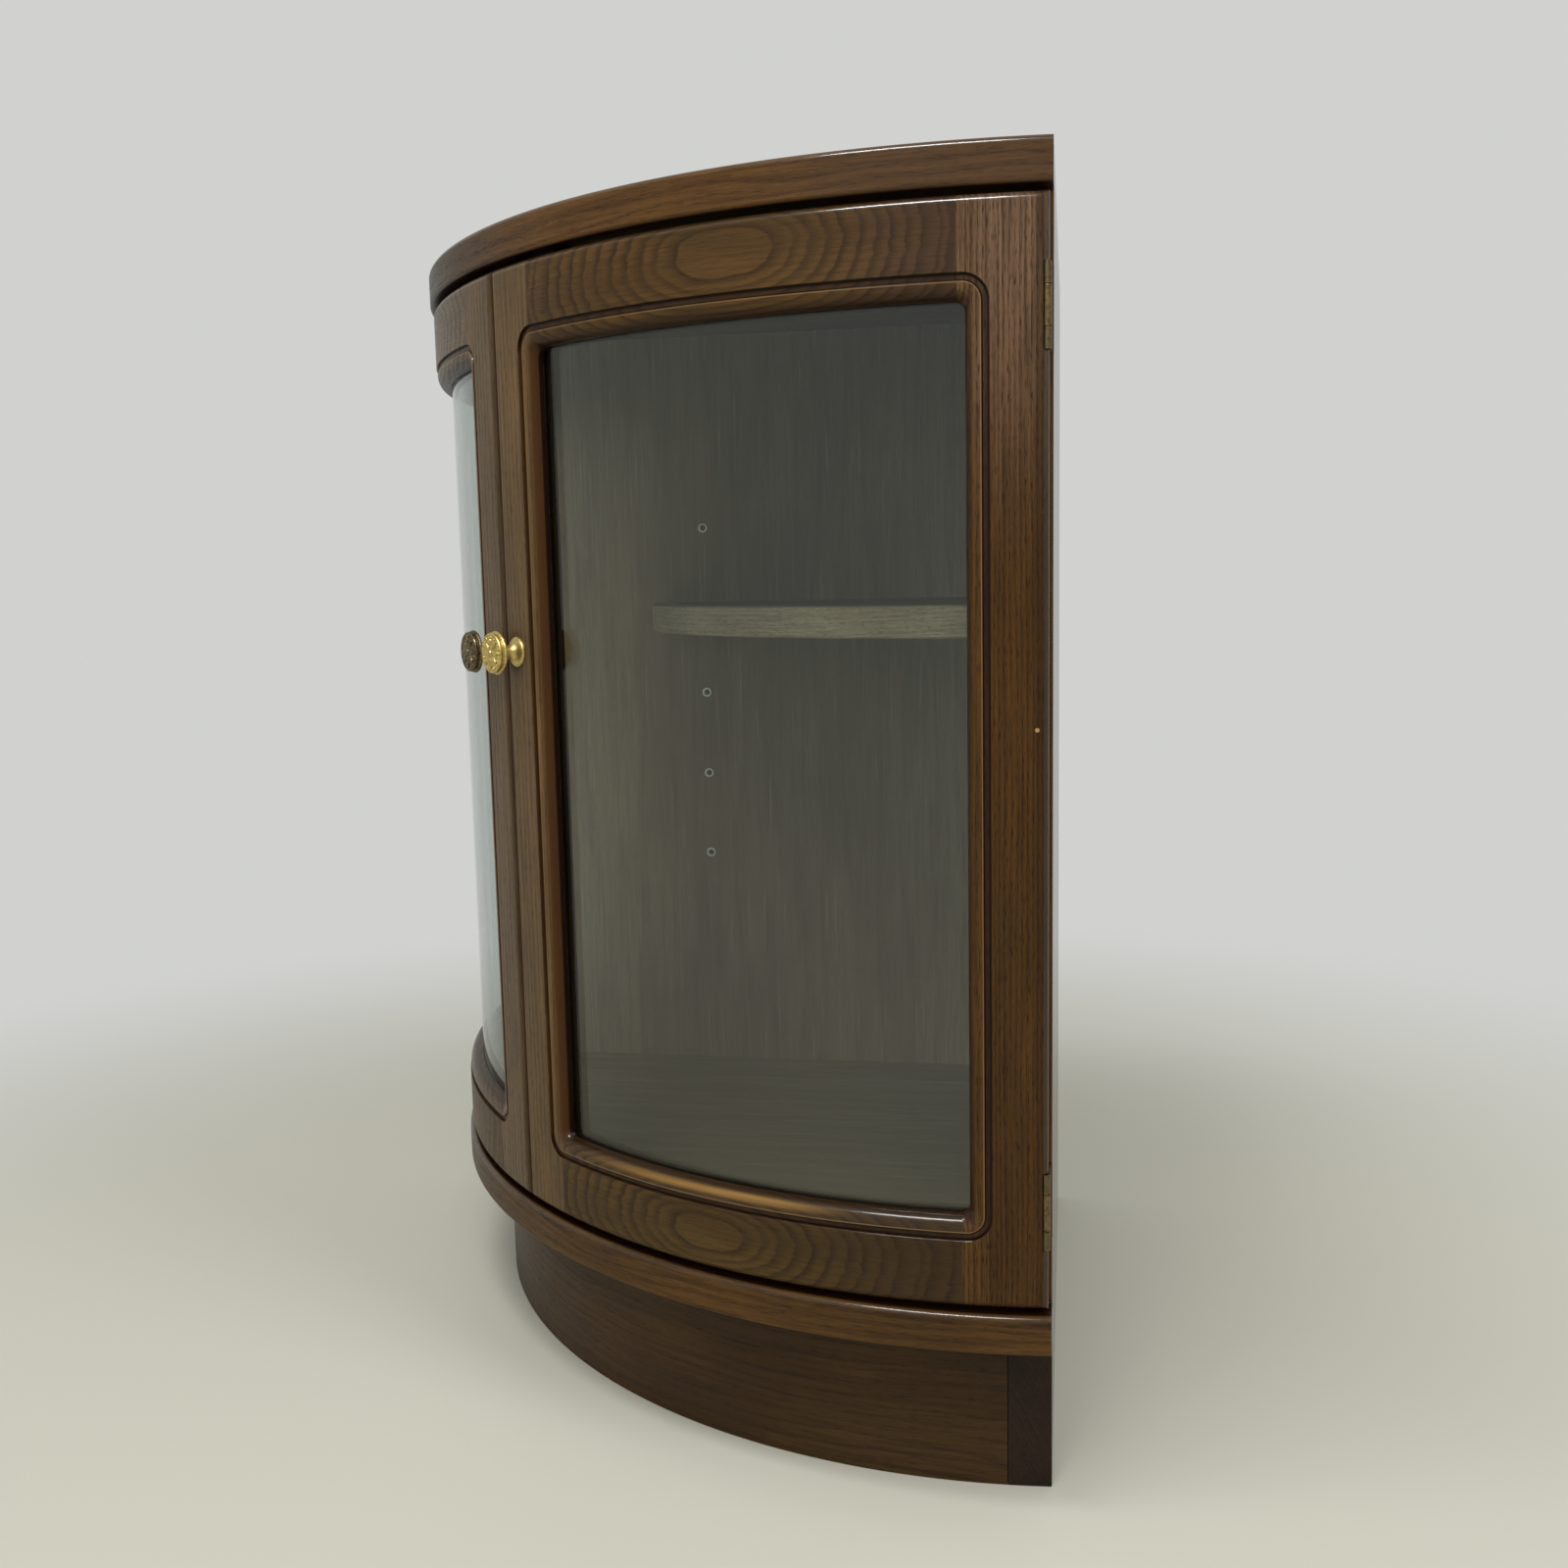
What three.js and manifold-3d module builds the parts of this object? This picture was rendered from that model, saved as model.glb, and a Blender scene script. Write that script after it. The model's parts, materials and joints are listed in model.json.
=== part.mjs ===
import * as THREE from 'three';
import { mergeVertices } from 'three/addons/utils/BufferGeometryUtils.js';
import Module from 'manifold-3d';

const wasm = await Module();
wasm.setup();

// Driving dimensions, in millimetres. The cabinet stands in a room corner: two sides are flat and
// square to each other, and the front is an arc whose centre lies a little way in from both walls.
const overallWidth = 552;
const overallHeight = 868;
const arcInset = 46;
const fitGap = 0.3;
const overrun = 6;
const facetCount = 120;

// Top and bottom boards, each a core panel with a solid lipping along the curved front
const boardThickness = 26.5;
const lippingWidth = 22;
const topBoardRounding = 4;
const bottomBoardRounding = 3.5;
const lowerArrisRounding = 2;
const roundingSteps = 4;

// Side panels, the solid lipping on their front edges, and the post where they meet
const panelThickness = 18;
const panelLippingWidth = 20;
const postWidth = 20;

// Plinth
const plinthHeight = 110.5;
const plinthRecess = 34.5;
const plinthBoardThickness = 18;
const plinthRailThickness = 29.5;
const plinthBlockWidth = 40;
const plinthBlockHeight = 80;

// Shelf, its holes and its pins; the shelf's front is an arc about the corner where the walls meet
const shelfRadius = 382;
const shelfThickness = 18;
const shelfSideGap = 0.7;
const nosingWidth = 22;
const nosingHeight = 24;
const nosingRounding = 2;
const holeRadius = 3.4;
const holeDepth = 10;
const holePitch = 79;
const holeRows = 5;
const lowestHoleHeight = 346;
const shelfHoleRow = 3;
const frontHoleFromEdge = 44;
const backHoleInset = 70;
const shelfPinRadius = 3;
const shelfPinReach = 9;
const shelfPinInsertion = 9;
const grooveDepth = 12.8;
const grooveSideGap = 1;
const holeSides = 12;

// Doors
const doorSetback = 2.5;
const doorThickness = 21;
const doorEndGap = 4.25;
const doorRounding = 5;
const meetingGap = 2;
const hingeEdgeInset = 1.8;
const doorRestGap = 1;
const meetingStileWidth = 52;
const hingeStileWidth = 55.5;
const stileFlatWidth = 36;
const railFlatWidth = 45;

// Moulding round the glass: a flat-bottomed quirk, then a bead that rolls down to the glass
const mouldingWidth = 15;
const quirkWidth = 4.2;
const quirkDepth = 2.2;
const quirkSlope = 0.8;
const beadSetback = 0.8;
const beadDrop = 8.2;
const beadSteps = 4;
const quirkCornerRadius = 16.5;
const cornerTaperShare = 0.6;
const cornerSteps = 5;

// Glass and the beads that hold it from behind
const lipDepth = 11.7;
const rebateWidth = 7;
const glassThickness = 4;
const glazingBeadWidth = 6.5;

// Butt hinges, with the pin at the outer front arris of each door
const hingeLength = 51;
const hingeInset = 40.5;
const knuckleRadius = 2.3;
const knuckleGap = 0.4;
const knuckleRunningGap = 0.5;
const middleKnuckleShare = 0.47;
const hingePinRadius = 1.1;
const leafThickness = 1.1;
const hingeSideInset = 1.1;
const hingePinSetback = 1.2;
const doorLeafMargin = 3.3;
const frameLeafWidth = 15;
const knuckleSides = 16;

// Knobs and their screws
const knobHeight = 564;
const knobFromEdge = 18;
const knobRadius = 15.75;
const knobLength = 24;
const knobSides = 24;
const knobProfileShares = [
  [0.7, 0], [0.7, 0.05], [0.64, 0.1], [0.5, 0.15], [0.38, 0.22], [0.31, 0.33], [0.29, 0.46],
  [0.31, 0.56], [0.42, 0.62], [0.88, 0.67], [0.98, 0.72], [1, 0.8], [0.95, 0.89], [0.86, 0.93],
  [0.82, 0.9], [0.78, 0.93], [0.4, 0.985], [0, 1],
];
const screwRadius = 2;
const screwHeadRadius = 4.5;
const screwHeadHeight = 2.5;
const screwInsertion = 11;
const screwGap = 0.4;
const screwSides = 16;

// Magnetic catches under the top board, with a strike plate on each door
const catchWidth = 40;
const catchHeight = 12;
const catchDepth = 14;
const catchFromEdge = 30;
const catchFaceGap = 0.8;
const strikeWidth = 24;
const strikeHeight = 10;
const strikeThickness = 1.2;
const strikeBelowBoard = 10;

// Places worked out from the dimensions above, in a frame whose Z axis is the arc's centre line
const frontRadius = overallWidth - arcInset;
const facetAngle = 2 * Math.PI / facetCount;
const halfCorner = Math.PI / 4;
const topBoardLow = overallHeight - boardThickness;
const bottomBoardTop = plinthHeight + boardThickness;
const panelInnerFace = arcInset - panelThickness;
const doorRadius = frontRadius - doorSetback;
const doorBackRadius = doorRadius - doorThickness;
const doorLow = bottomBoardTop + doorEndGap;
const doorHigh = topBoardLow - doorEndGap;
const doorMeetingEdge = meetingGap / 2;
const doorHingeEdge = doorRadius * (halfCorner + Math.asin((arcInset - hingeEdgeInset) / doorRadius));
const pinX = arcInset - hingeSideInset - knuckleRadius;
const pinY = hingePinSetback - Math.sqrt(doorRadius ** 2 - pinX ** 2);
const doorBackY = -Math.sqrt(doorBackRadius ** 2 - pinX ** 2);
const panelFrontY = doorBackY + doorRestGap;
const lowerHingeLow = doorLow + hingeInset;
const upperHingeLow = doorHigh - hingeInset - hingeLength;
const hingeHeights = { lower: lowerHingeLow, upper: upperHingeLow };
const sight = {
  left: doorMeetingEdge + stileFlatWidth + mouldingWidth,
  right: doorHingeEdge - stileFlatWidth - mouldingWidth,
  low: doorLow + railFlatWidth + mouldingWidth,
  high: doorHigh - railFlatWidth - mouldingWidth,
};
const middleHeight = (doorLow + doorHigh) / 2;
const frontHoleInset = shelfRadius - frontHoleFromEdge;
const shelfPinHeight = lowestHoleHeight + shelfHoleRow * holePitch;
const shelfUnderside = shelfPinHeight + shelfPinRadius + fitGap - grooveDepth;
const shelfTopHeight = shelfUnderside + shelfThickness;
const bottomFace = plinthHeight - fitGap;

// Finishes
const finish = (color, roughness, metalness = 0) => (
  new THREE.MeshStandardMaterial({ color, roughness, metalness }));
const frameOak = finish(0x5f4632, 0.42);
const boardOak = finish(0x573d29, 0.4);
const veneerOak = finish(0x55504a, 0.5);
const plinthOak = finish(0x33251b, 0.5);
const endGrainOak = finish(0x241b16, 0.6);
const glassFinish = new THREE.MeshStandardMaterial({
  color: 0xb9cfc6, roughness: 0.05, metalness: 0, transparent: true, opacity: 0.3,
});
const brightBrass = finish(0xc9a85a, 0.25, 1);
const agedBrass = finish(0x6f6246, 0.38, 1);
const hingeBrass = finish(0x9a8550, 0.35, 1);
const steel = finish(0xa8a9a5, 0.35, 1);
const catchPlastic = finish(0x2a211b, 0.5);

// Solids from three.js geometry, for cutting and joining
function solid(geometry) {
  const bare = new THREE.BufferGeometry();
  bare.setAttribute('position', geometry.getAttribute('position').clone());
  if (geometry.index) bare.setIndex(geometry.index.clone());
  const merged = mergeVertices(bare);
  const index = merged.index.array;
  const triangles = [];
  for (let i = 0; i < index.length; i += 3) {
    const [a, b, c] = [index[i], index[i + 1], index[i + 2]];
    if (a !== b && b !== c && c !== a) triangles.push(a, b, c);
  }
  const vertProperties = new Float32Array(merged.getAttribute('position').array);
  return new wasm.Manifold(new wasm.Mesh({
    numProp: 3, vertProperties, triVerts: new Uint32Array(triangles),
  }));
}

function shape(manifold) {
  const mesh = manifold.getMesh();
  const geometry = new THREE.BufferGeometry();
  geometry.setAttribute('position', new THREE.BufferAttribute(mesh.vertProperties.slice(), 3));
  geometry.setIndex(new THREE.BufferAttribute(mesh.triVerts.slice(), 1));
  geometry.computeVertexNormals();
  return geometry;
}

// The left side is the right side seen in a mirror standing on the diagonal between the walls
function mirrored(geometry) {
  const copy = geometry.clone();
  const position = copy.getAttribute('position');
  for (let i = 0; i < position.count; i += 1) {
    position.setXY(i, position.getY(i), position.getX(i));
  }
  const index = copy.index.array;
  for (let i = 0; i < index.length; i += 3) {
    [index[i + 1], index[i + 2]] = [index[i + 2], index[i + 1]];
  }
  copy.computeVertexNormals();
  return copy;
}

function block(lowX, highX, lowY, highY, lowZ, highZ) {
  const geometry = new THREE.BoxGeometry(highX - lowX, highY - lowY, highZ - lowZ);
  return geometry.translate((lowX + highX) / 2, (lowY + highY) / 2, (lowZ + highZ) / 2);
}

function turned(points, segments = facetCount) {
  const profile = points.map(([radius, height]) => new THREE.Vector2(radius, height));
  return new THREE.LatheGeometry(profile, segments).rotateX(Math.PI / 2);
}

function disc(radius, low, high) {
  return turned([[0, low], [radius, low], [radius, high], [0, high]]);
}

// A ring with its two outer arrises rounded
function roundedRing(innerRadius, outerRadius, low, high, lowRounding, highRounding) {
  const points = [[innerRadius, low]];
  for (let i = 0; i <= roundingSteps; i += 1) {
    const angle = i / roundingSteps * Math.PI / 2;
    points.push([
      outerRadius - lowRounding * (1 - Math.sin(angle)), low + lowRounding * (1 - Math.cos(angle))]);
  }
  for (let i = 0; i <= roundingSteps; i += 1) {
    const angle = i / roundingSteps * Math.PI / 2;
    points.push([
      outerRadius - highRounding * (1 - Math.cos(angle)), high - highRounding * (1 - Math.sin(angle))]);
  }
  points.push([innerRadius, high], [innerRadius, low]);
  return turned(points);
}

// What lies inside two vertical planes, one for each wall
function insideWalls(geometry, edgeX, edgeY) {
  const reach = -frontRadius - overrun;
  const keep = block(reach, edgeX, reach, edgeY, -overrun, overallHeight + overrun);
  return solid(geometry).intersect(solid(keep));
}

// A block bent round the arc's centre. Each ring is an outline at its own radius, front ring first;
// left and right are lengths along the door's face from the meeting line, towards the hinge.
function bentBlock(rings, corners = 0) {
  const span = (rings[0].right - rings[0].left) / doorRadius;
  const steps = Math.max(1, Math.ceil(span / facetAngle));
  const positions = [];
  for (const ring of rings) {
    for (const [along, low, high] of stations(ring, steps, corners)) {
      const angle = halfCorner - along / doorRadius;
      for (const height of [low, high]) {
        positions.push(-ring.radius * Math.sin(angle), -ring.radius * Math.cos(angle), height);
      }
    }
  }
  const last = steps + 2 * corners;
  const ringSize = 2 * (last + 1);
  const loop = [];
  for (let i = 0; i <= last; i += 1) loop.push(2 * i);
  for (let i = last; i >= 0; i -= 1) loop.push(2 * i + 1);
  const index = [];
  for (let i = 0; i < last; i += 1) {
    const [low, nextLow, nextHigh, high] = [2 * i, 2 * i + 2, 2 * i + 3, 2 * i + 1];
    index.push(low, nextLow, nextHigh, low, nextHigh, high);
    const back = (rings.length - 1) * ringSize;
    index.push(back + low, back + nextHigh, back + nextLow, back + low, back + high, back + nextHigh);
  }
  for (let ring = 0; ring < rings.length - 1; ring += 1) {
    const [front, back] = [ring * ringSize, (ring + 1) * ringSize];
    loop.forEach((here, i) => {
      const next = loop[(i + 1) % loop.length];
      index.push(front + here, back + here, back + next, front + here, back + next, front + next);
    });
  }
  const geometry = new THREE.BufferGeometry();
  geometry.setAttribute('position', new THREE.Float32BufferAttribute(positions, 3));
  geometry.setIndex(index);
  return geometry;
}

function stations({ left, right, low, high, corner = 0 }, steps, corners) {
  const list = [];
  for (let i = 0; i < corners; i += 1) {
    const angle = i / corners * Math.PI / 2;
    const [along, rise] = [corner * (1 - Math.cos(angle)), corner * (1 - Math.sin(angle))];
    list.push([left + along, low + rise, high - rise]);
  }
  for (let i = 0; i <= steps; i += 1) {
    const along = left + corner + (right - left - 2 * corner) * i / steps;
    list.push([along, low, high]);
  }
  for (let i = corners - 1; i >= 0; i -= 1) {
    const [along, lowEdge, highEdge] = list[i];
    list.push([left + right - along, lowEdge, highEdge]);
  }
  return list;
}

function outline(frame, inset, depth, corner = 0) {
  return {
    left: frame.left + inset,
    right: frame.right - inset,
    low: frame.low + inset,
    high: frame.high - inset,
    radius: doorRadius - depth,
    corner,
  };
}

function bentBar(frame, frontDepth, backDepth) {
  return bentBlock([outline(frame, 0, frontDepth), outline(frame, 0, backDepth)]);
}

// Where a fitting sits on a door: along the face from the meeting line, out along the radius
function onDoor(mesh, along, out, height, side) {
  const angle = halfCorner - along / doorRadius;
  const radius = doorRadius + out;
  const [across, deep] = [-radius * Math.sin(angle), -radius * Math.cos(angle)];
  if (side === 'right') {
    mesh.position.set(across, deep, height);
    mesh.rotation.z = Math.PI - angle;
  } else {
    mesh.position.set(deep, across, height);
    mesh.rotation.z = Math.PI / 2 + angle;
  }
  mesh.updateMatrix();
  return mesh;
}

function part(name, geometry, material) {
  const mesh = new THREE.Mesh(geometry, material);
  mesh.name = name;
  return mesh;
}

// Boards
function addBoard(group, name, low, rounding) {
  const high = low + boardThickness;
  const coreRadius = frontRadius - lippingWidth - fitGap;
  const core = insideWalls(disc(coreRadius, low, high), arcInset, arcInset);
  const ring = roundedRing(
    frontRadius - lippingWidth, frontRadius, low, high, lowerArrisRounding, rounding);
  const lipping = insideWalls(ring, arcInset, arcInset);
  group.add(part(`${name}_board`, shape(core), boardOak));
  group.add(part(`${name}_board_lipping`, shape(lipping), boardOak));
}

// Side panels
function holeCutters() {
  const cutters = [];
  for (const inset of [frontHoleInset, backHoleInset]) {
    for (let row = 0; row < holeRows; row += 1) {
      const hole = new THREE.CylinderGeometry(holeRadius, holeRadius, holeDepth + overrun, holeSides);
      hole.rotateZ(Math.PI / 2);
      hole.translate(
        panelInnerFace + (holeDepth - overrun) / 2, arcInset - inset, lowestHoleHeight + row * holePitch);
      cutters.push(hole);
    }
  }
  return cutters;
}

function addPanels(group) {
  const [low, high] = [bottomBoardTop + fitGap, topBoardLow - fitGap];
  const panelStart = panelFrontY + panelLippingWidth + fitGap;
  const sidePanel = (end) => {
    let panel = solid(block(panelInnerFace, arcInset, panelStart, end, low, high));
    for (const hole of holeCutters()) panel = panel.subtract(solid(hole));
    return shape(panel);
  };
  group.add(part('right_side_panel', sidePanel(arcInset), veneerOak));
  group.add(part('left_side_panel', mirrored(sidePanel(panelInnerFace - fitGap)), veneerOak));

  let lipping = solid(block(
    panelInnerFace, arcInset, panelFrontY, panelFrontY + panelLippingWidth, low, high));
  for (const hingeLow of Object.values(hingeHeights)) {
    lipping = lipping.subtract(solid(block(
      pinX + knuckleRadius - frameLeafWidth - fitGap, arcInset + overrun,
      panelFrontY - overrun, panelFrontY + leafThickness + fitGap,
      hingeLow - fitGap, hingeLow + hingeLength + fitGap)));
  }
  group.add(part('right_panel_lipping', shape(lipping), frameOak));
  group.add(part('left_panel_lipping', mirrored(shape(lipping)), frameOak));

  const postFace = panelInnerFace - fitGap;
  const post = block(postFace - postWidth, postFace, postFace - postWidth, postFace, low, high);
  group.add(part('back_corner_post', post, veneerOak));
}

// Plinth
function addPlinth(group) {
  const radius = frontRadius - plinthRecess;
  const railFace = arcInset - plinthRailThickness;
  const boardEdge = railFace - fitGap;
  const ring = turned([
    [radius - plinthBoardThickness, 0], [radius, 0], [radius, bottomFace],
    [radius - plinthBoardThickness, bottomFace], [radius - plinthBoardThickness, 0]]);
  group.add(part('plinth_front_board', shape(insideWalls(ring, boardEdge, boardEdge)), plinthOak));

  const round = solid(disc(radius, 0, bottomFace));
  const rail = (end) => shape(
    solid(block(railFace, arcInset, -frontRadius, end, -overrun, plinthHeight)).intersect(round));
  group.add(part('plinth_right_rail', rail(arcInset), endGrainOak));
  group.add(part('plinth_left_rail', mirrored(rail(boardEdge)), endGrainOak));

  const insideRadius = radius - plinthBoardThickness - fitGap;
  const behindBoard = solid(disc(insideRadius, bottomFace - plinthBlockHeight, bottomFace));
  const frontBlock = shape(solid(block(
    boardEdge - plinthBlockWidth, boardEdge, -radius, -radius + plinthBoardThickness + plinthBlockWidth,
    0, plinthHeight)).intersect(behindBoard));
  group.add(part('plinth_right_block', frontBlock, veneerOak));
  group.add(part('plinth_left_block', mirrored(frontBlock), veneerOak));
  group.add(part('plinth_back_block', block(
    boardEdge - plinthBlockWidth, boardEdge, boardEdge - plinthBlockWidth, boardEdge,
    bottomFace - plinthBlockHeight, bottomFace), veneerOak));
}

// Shelf
function addShelf(group) {
  const edge = panelInnerFace - shelfSideGap;
  const nosingInner = shelfRadius - nosingWidth;
  const toCorner = (geometry) => geometry.translate(arcInset, arcInset, 0);

  let board = insideWalls(toCorner(disc(nosingInner - fitGap, shelfUnderside, shelfTopHeight)), edge, edge);
  const notchFace = panelInnerFace - fitGap - postWidth - shelfSideGap;
  board = board.subtract(solid(block(
    notchFace, arcInset, notchFace, arcInset, shelfUnderside - overrun, shelfTopHeight + overrun)));
  for (const inset of [frontHoleInset, backHoleInset]) {
    const centre = arcInset - inset;
    const halfWidth = shelfPinRadius + grooveSideGap;
    const groove = block(
      panelInnerFace - shelfPinReach - grooveSideGap, arcInset, centre - halfWidth, centre + halfWidth,
      shelfUnderside - overrun, shelfUnderside + grooveDepth);
    board = board.subtract(solid(groove)).subtract(solid(mirrored(groove)));
  }
  group.add(part('shelf_board', shape(board), veneerOak));

  const nosing = roundedRing(
    nosingInner, shelfRadius, shelfTopHeight - nosingHeight, shelfTopHeight,
    nosingRounding, nosingRounding);
  group.add(part('shelf_nosing', shape(insideWalls(toCorner(nosing), edge, edge)), veneerOak));

  const pinLength = shelfPinInsertion + shelfPinReach;
  const pin = new THREE.CylinderGeometry(shelfPinRadius, shelfPinRadius, pinLength, holeSides);
  pin.rotateZ(Math.PI / 2);
  pin.translate(panelInnerFace + (shelfPinInsertion - shelfPinReach) / 2, 0, 0);
  for (const [place, inset] of [['front', frontHoleInset], ['back', backHoleInset]]) {
    const right = part(`shelf_pin_right_${place}`, pin, steel);
    right.position.set(0, arcInset - inset, shelfPinHeight);
    const left = part(`shelf_pin_left_${place}`, mirrored(pin), steel);
    left.position.set(arcInset - inset, 0, shelfPinHeight);
    group.add(right, left);
  }
}

// The door as one bent blank: rounded along its edges, with the moulded opening and the rebate cut
function doorBlank() {
  const edges = { left: doorMeetingEdge, right: doorHingeEdge, low: doorLow, high: doorHigh };
  const blank = [];
  for (let i = 0; i <= roundingSteps; i += 1) {
    const angle = i / roundingSteps * Math.PI / 2;
    blank.push(outline(edges, doorRounding * (1 - Math.sin(angle)), doorRounding * (1 - Math.cos(angle))));
  }
  blank.push(outline(edges, 0, doorThickness));

  const opening = (inset, depth) => (
    outline(sight, inset - mouldingWidth, depth, quirkCornerRadius - inset * cornerTaperShare));
  const beadStart = quirkWidth + quirkSlope;
  const moulding = [opening(0, -overrun), opening(0, quirkDepth), opening(quirkWidth, quirkDepth)];
  for (let i = 0; i <= beadSteps; i += 1) {
    const angle = i / beadSteps * Math.PI / 2;
    moulding.push(opening(
      beadStart + (mouldingWidth - beadStart) * Math.sin(angle),
      beadSetback + beadDrop * (1 - Math.cos(angle))));
  }
  moulding.push(opening(mouldingWidth, doorThickness + overrun));

  const rebate = bentBlock([
    outline(sight, -rebateWidth, lipDepth), outline(sight, -rebateWidth, doorThickness + overrun)]);
  return solid(bentBlock(blank))
    .subtract(solid(bentBlock(moulding, cornerSteps)))
    .subtract(solid(rebate));
}

function screwHole() {
  const radius = screwRadius + screwGap;
  const hole = new THREE.CylinderGeometry(radius, radius, doorThickness + 2 * overrun, screwSides);
  const carrier = onDoor(new THREE.Mesh(), knobFromEdge, -doorThickness / 2, knobHeight, 'right');
  return hole.applyMatrix4(carrier.matrix);
}

function hingeNotch(hingeLow) {
  const [low, high] = [hingeLow - fitGap, hingeLow + hingeLength + fitGap];
  const face = pinX + knuckleRadius - 2 * leafThickness - 2 * fitGap;
  const slot = block(face, arcInset + overrun, pinY - overrun, doorBackY + overrun, low, high);
  const radius = knuckleRadius + knuckleRunningGap;
  const bore = new THREE.CylinderGeometry(radius, radius, high - low, knuckleSides);
  bore.rotateX(Math.PI / 2).translate(pinX, pinY, (low + high) / 2);
  return solid(slot).add(solid(bore));
}

function doorFrameShapes() {
  const door = doorBlank();
  const meetingJoint = doorMeetingEdge + meetingStileWidth;
  const hingeJoint = doorHingeEdge - hingeStileWidth;
  const cut = (left, right, low, high) => door.intersect(solid(
    bentBar({ left, right, low, high }, -overrun, doorThickness + overrun)));
  const [under, over] = [doorLow - overrun, doorHigh + overrun];
  let hingeStile = cut(hingeJoint, doorHingeEdge + overrun, under, over);
  for (const hingeLow of Object.values(hingeHeights)) {
    hingeStile = hingeStile.subtract(hingeNotch(hingeLow));
  }
  const meetingStile = cut(-overrun, meetingJoint, under, over).subtract(solid(screwHole()));
  const railLeft = meetingJoint + fitGap;
  const railRight = hingeJoint - fitGap;
  return {
    hinge_stile: shape(hingeStile),
    meeting_stile: shape(meetingStile),
    top_rail: shape(cut(railLeft, railRight, middleHeight, over)),
    bottom_rail: shape(cut(railLeft, railRight, under, middleHeight)),
  };
}

function glazingShapes() {
  const pane = outline(sight, fitGap - rebateWidth, 0);
  const glassFront = lipDepth + fitGap;
  const beadFront = glassFront + glassThickness + fitGap;
  const sideLow = pane.low + glazingBeadWidth + fitGap;
  const sideHigh = pane.high - glazingBeadWidth - fitGap;
  const bead = (frame) => bentBar(frame, beadFront, doorThickness);
  return {
    top_glazing_bead: bead({ ...pane, low: pane.high - glazingBeadWidth }),
    bottom_glazing_bead: bead({ ...pane, high: pane.low + glazingBeadWidth }),
    hinge_side_glazing_bead: bead({
      left: pane.right - glazingBeadWidth, right: pane.right, low: sideLow, high: sideHigh }),
    meeting_side_glazing_bead: bead({
      left: pane.left, right: pane.left + glazingBeadWidth, low: sideLow, high: sideHigh }),
    glass: bentBar(pane, glassFront, glassFront + glassThickness),
  };
}

// Knob and screw, turned about an axis that points out of the door's face
function knobShape() {
  const boreRadius = screwRadius + screwGap;
  const boreEnd = screwInsertion + screwGap;
  const outside = knobProfileShares.map(([radius, length]) => [
    radius * knobRadius, fitGap + length * (knobLength - fitGap)]);
  const points = [[0, boreEnd], [boreRadius, boreEnd], [boreRadius, fitGap], ...outside];
  return new THREE.LatheGeometry(points.map((point) => new THREE.Vector2(...point)), knobSides);
}

function screwShape() {
  const headFace = -doorThickness - fitGap;
  const points = [
    [0, headFace - screwHeadHeight], [screwHeadRadius, headFace - screwHeadHeight],
    [screwHeadRadius, headFace], [screwRadius, headFace],
    [screwRadius, screwInsertion], [0, screwInsertion]];
  return new THREE.LatheGeometry(points.map((point) => new THREE.Vector2(...point)), screwSides);
}

function addDoorFittings(group, side, brass) {
  group.add(onDoor(part(`${side}_knob`, knobShape(), brass), knobFromEdge, 0, knobHeight, side));
  group.add(onDoor(part(`${side}_knob_screw`, screwShape(), steel), knobFromEdge, 0, knobHeight, side));
  const plate = new THREE.BoxGeometry(strikeWidth, strikeThickness, strikeHeight);
  const back = -doorThickness - fitGap - strikeThickness;
  group.add(onDoor(
    part(`${side}_strike_plate`, plate, steel), catchFromEdge, back, topBoardLow - strikeBelowBoard, side));
}

function addCatch(group, side) {
  const body = new THREE.BoxGeometry(catchWidth, catchDepth, catchHeight);
  const out = -doorThickness - fitGap - 3 * strikeThickness / 2 - catchFaceGap - catchDepth / 2;
  const height = topBoardLow - fitGap - catchHeight / 2;
  group.add(onDoor(part(`${side}_magnetic_catch`, body, catchPlastic), catchFromEdge, out, height, side));
}

// Hinges, drawn about the pin's axis from the low end of the knuckle
function upright(radius, low, high) {
  const rod = new THREE.CylinderGeometry(radius, radius, high - low, knuckleSides);
  return rod.rotateX(Math.PI / 2).translate(0, 0, (low + high) / 2);
}

function hingeShapes() {
  const middleLength = hingeLength * middleKnuckleShare;
  const middleLow = (hingeLength - middleLength) / 2;
  const middleHigh = middleLow + middleLength;
  const clear = knuckleRadius + knuckleRunningGap - knuckleGap / 2;
  const bore = solid(upright(hingePinRadius + fitGap, -overrun, hingeLength + overrun));
  const webFace = knuckleRadius - leafThickness;
  const flangeBack = panelFrontY - pinY + leafThickness;
  const web = solid(block(webFace, knuckleRadius, 0, flangeBack, 0, hingeLength));
  const flange = solid(block(
    knuckleRadius - frameLeafWidth, knuckleRadius, flangeBack - leafThickness, flangeBack, 0, hingeLength));
  const frameLeaf = web.add(flange)
    .subtract(solid(upright(clear, middleLow - knuckleGap, middleHigh + knuckleGap)))
    .add(solid(upright(knuckleRadius, 0, middleLow - knuckleGap)))
    .add(solid(upright(knuckleRadius, middleHigh + knuckleGap, hingeLength)))
    .subtract(bore);

  const leafBack = doorThickness - doorLeafMargin - hingePinSetback;
  const leafFace = webFace - fitGap;
  const doorLeaf = solid(block(leafFace - leafThickness, leafFace, 0, leafBack, 0, hingeLength))
    .subtract(solid(upright(clear, -overrun, middleLow)))
    .subtract(solid(upright(clear, middleHigh, hingeLength + overrun)))
    .add(solid(upright(knuckleRadius, middleLow, middleHigh)))
    .subtract(bore);

  const pin = upright(hingePinRadius, 0, hingeLength);
  return { frame_leaf: shape(frameLeaf), door_leaf: shape(doorLeaf), pin };
}

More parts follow.
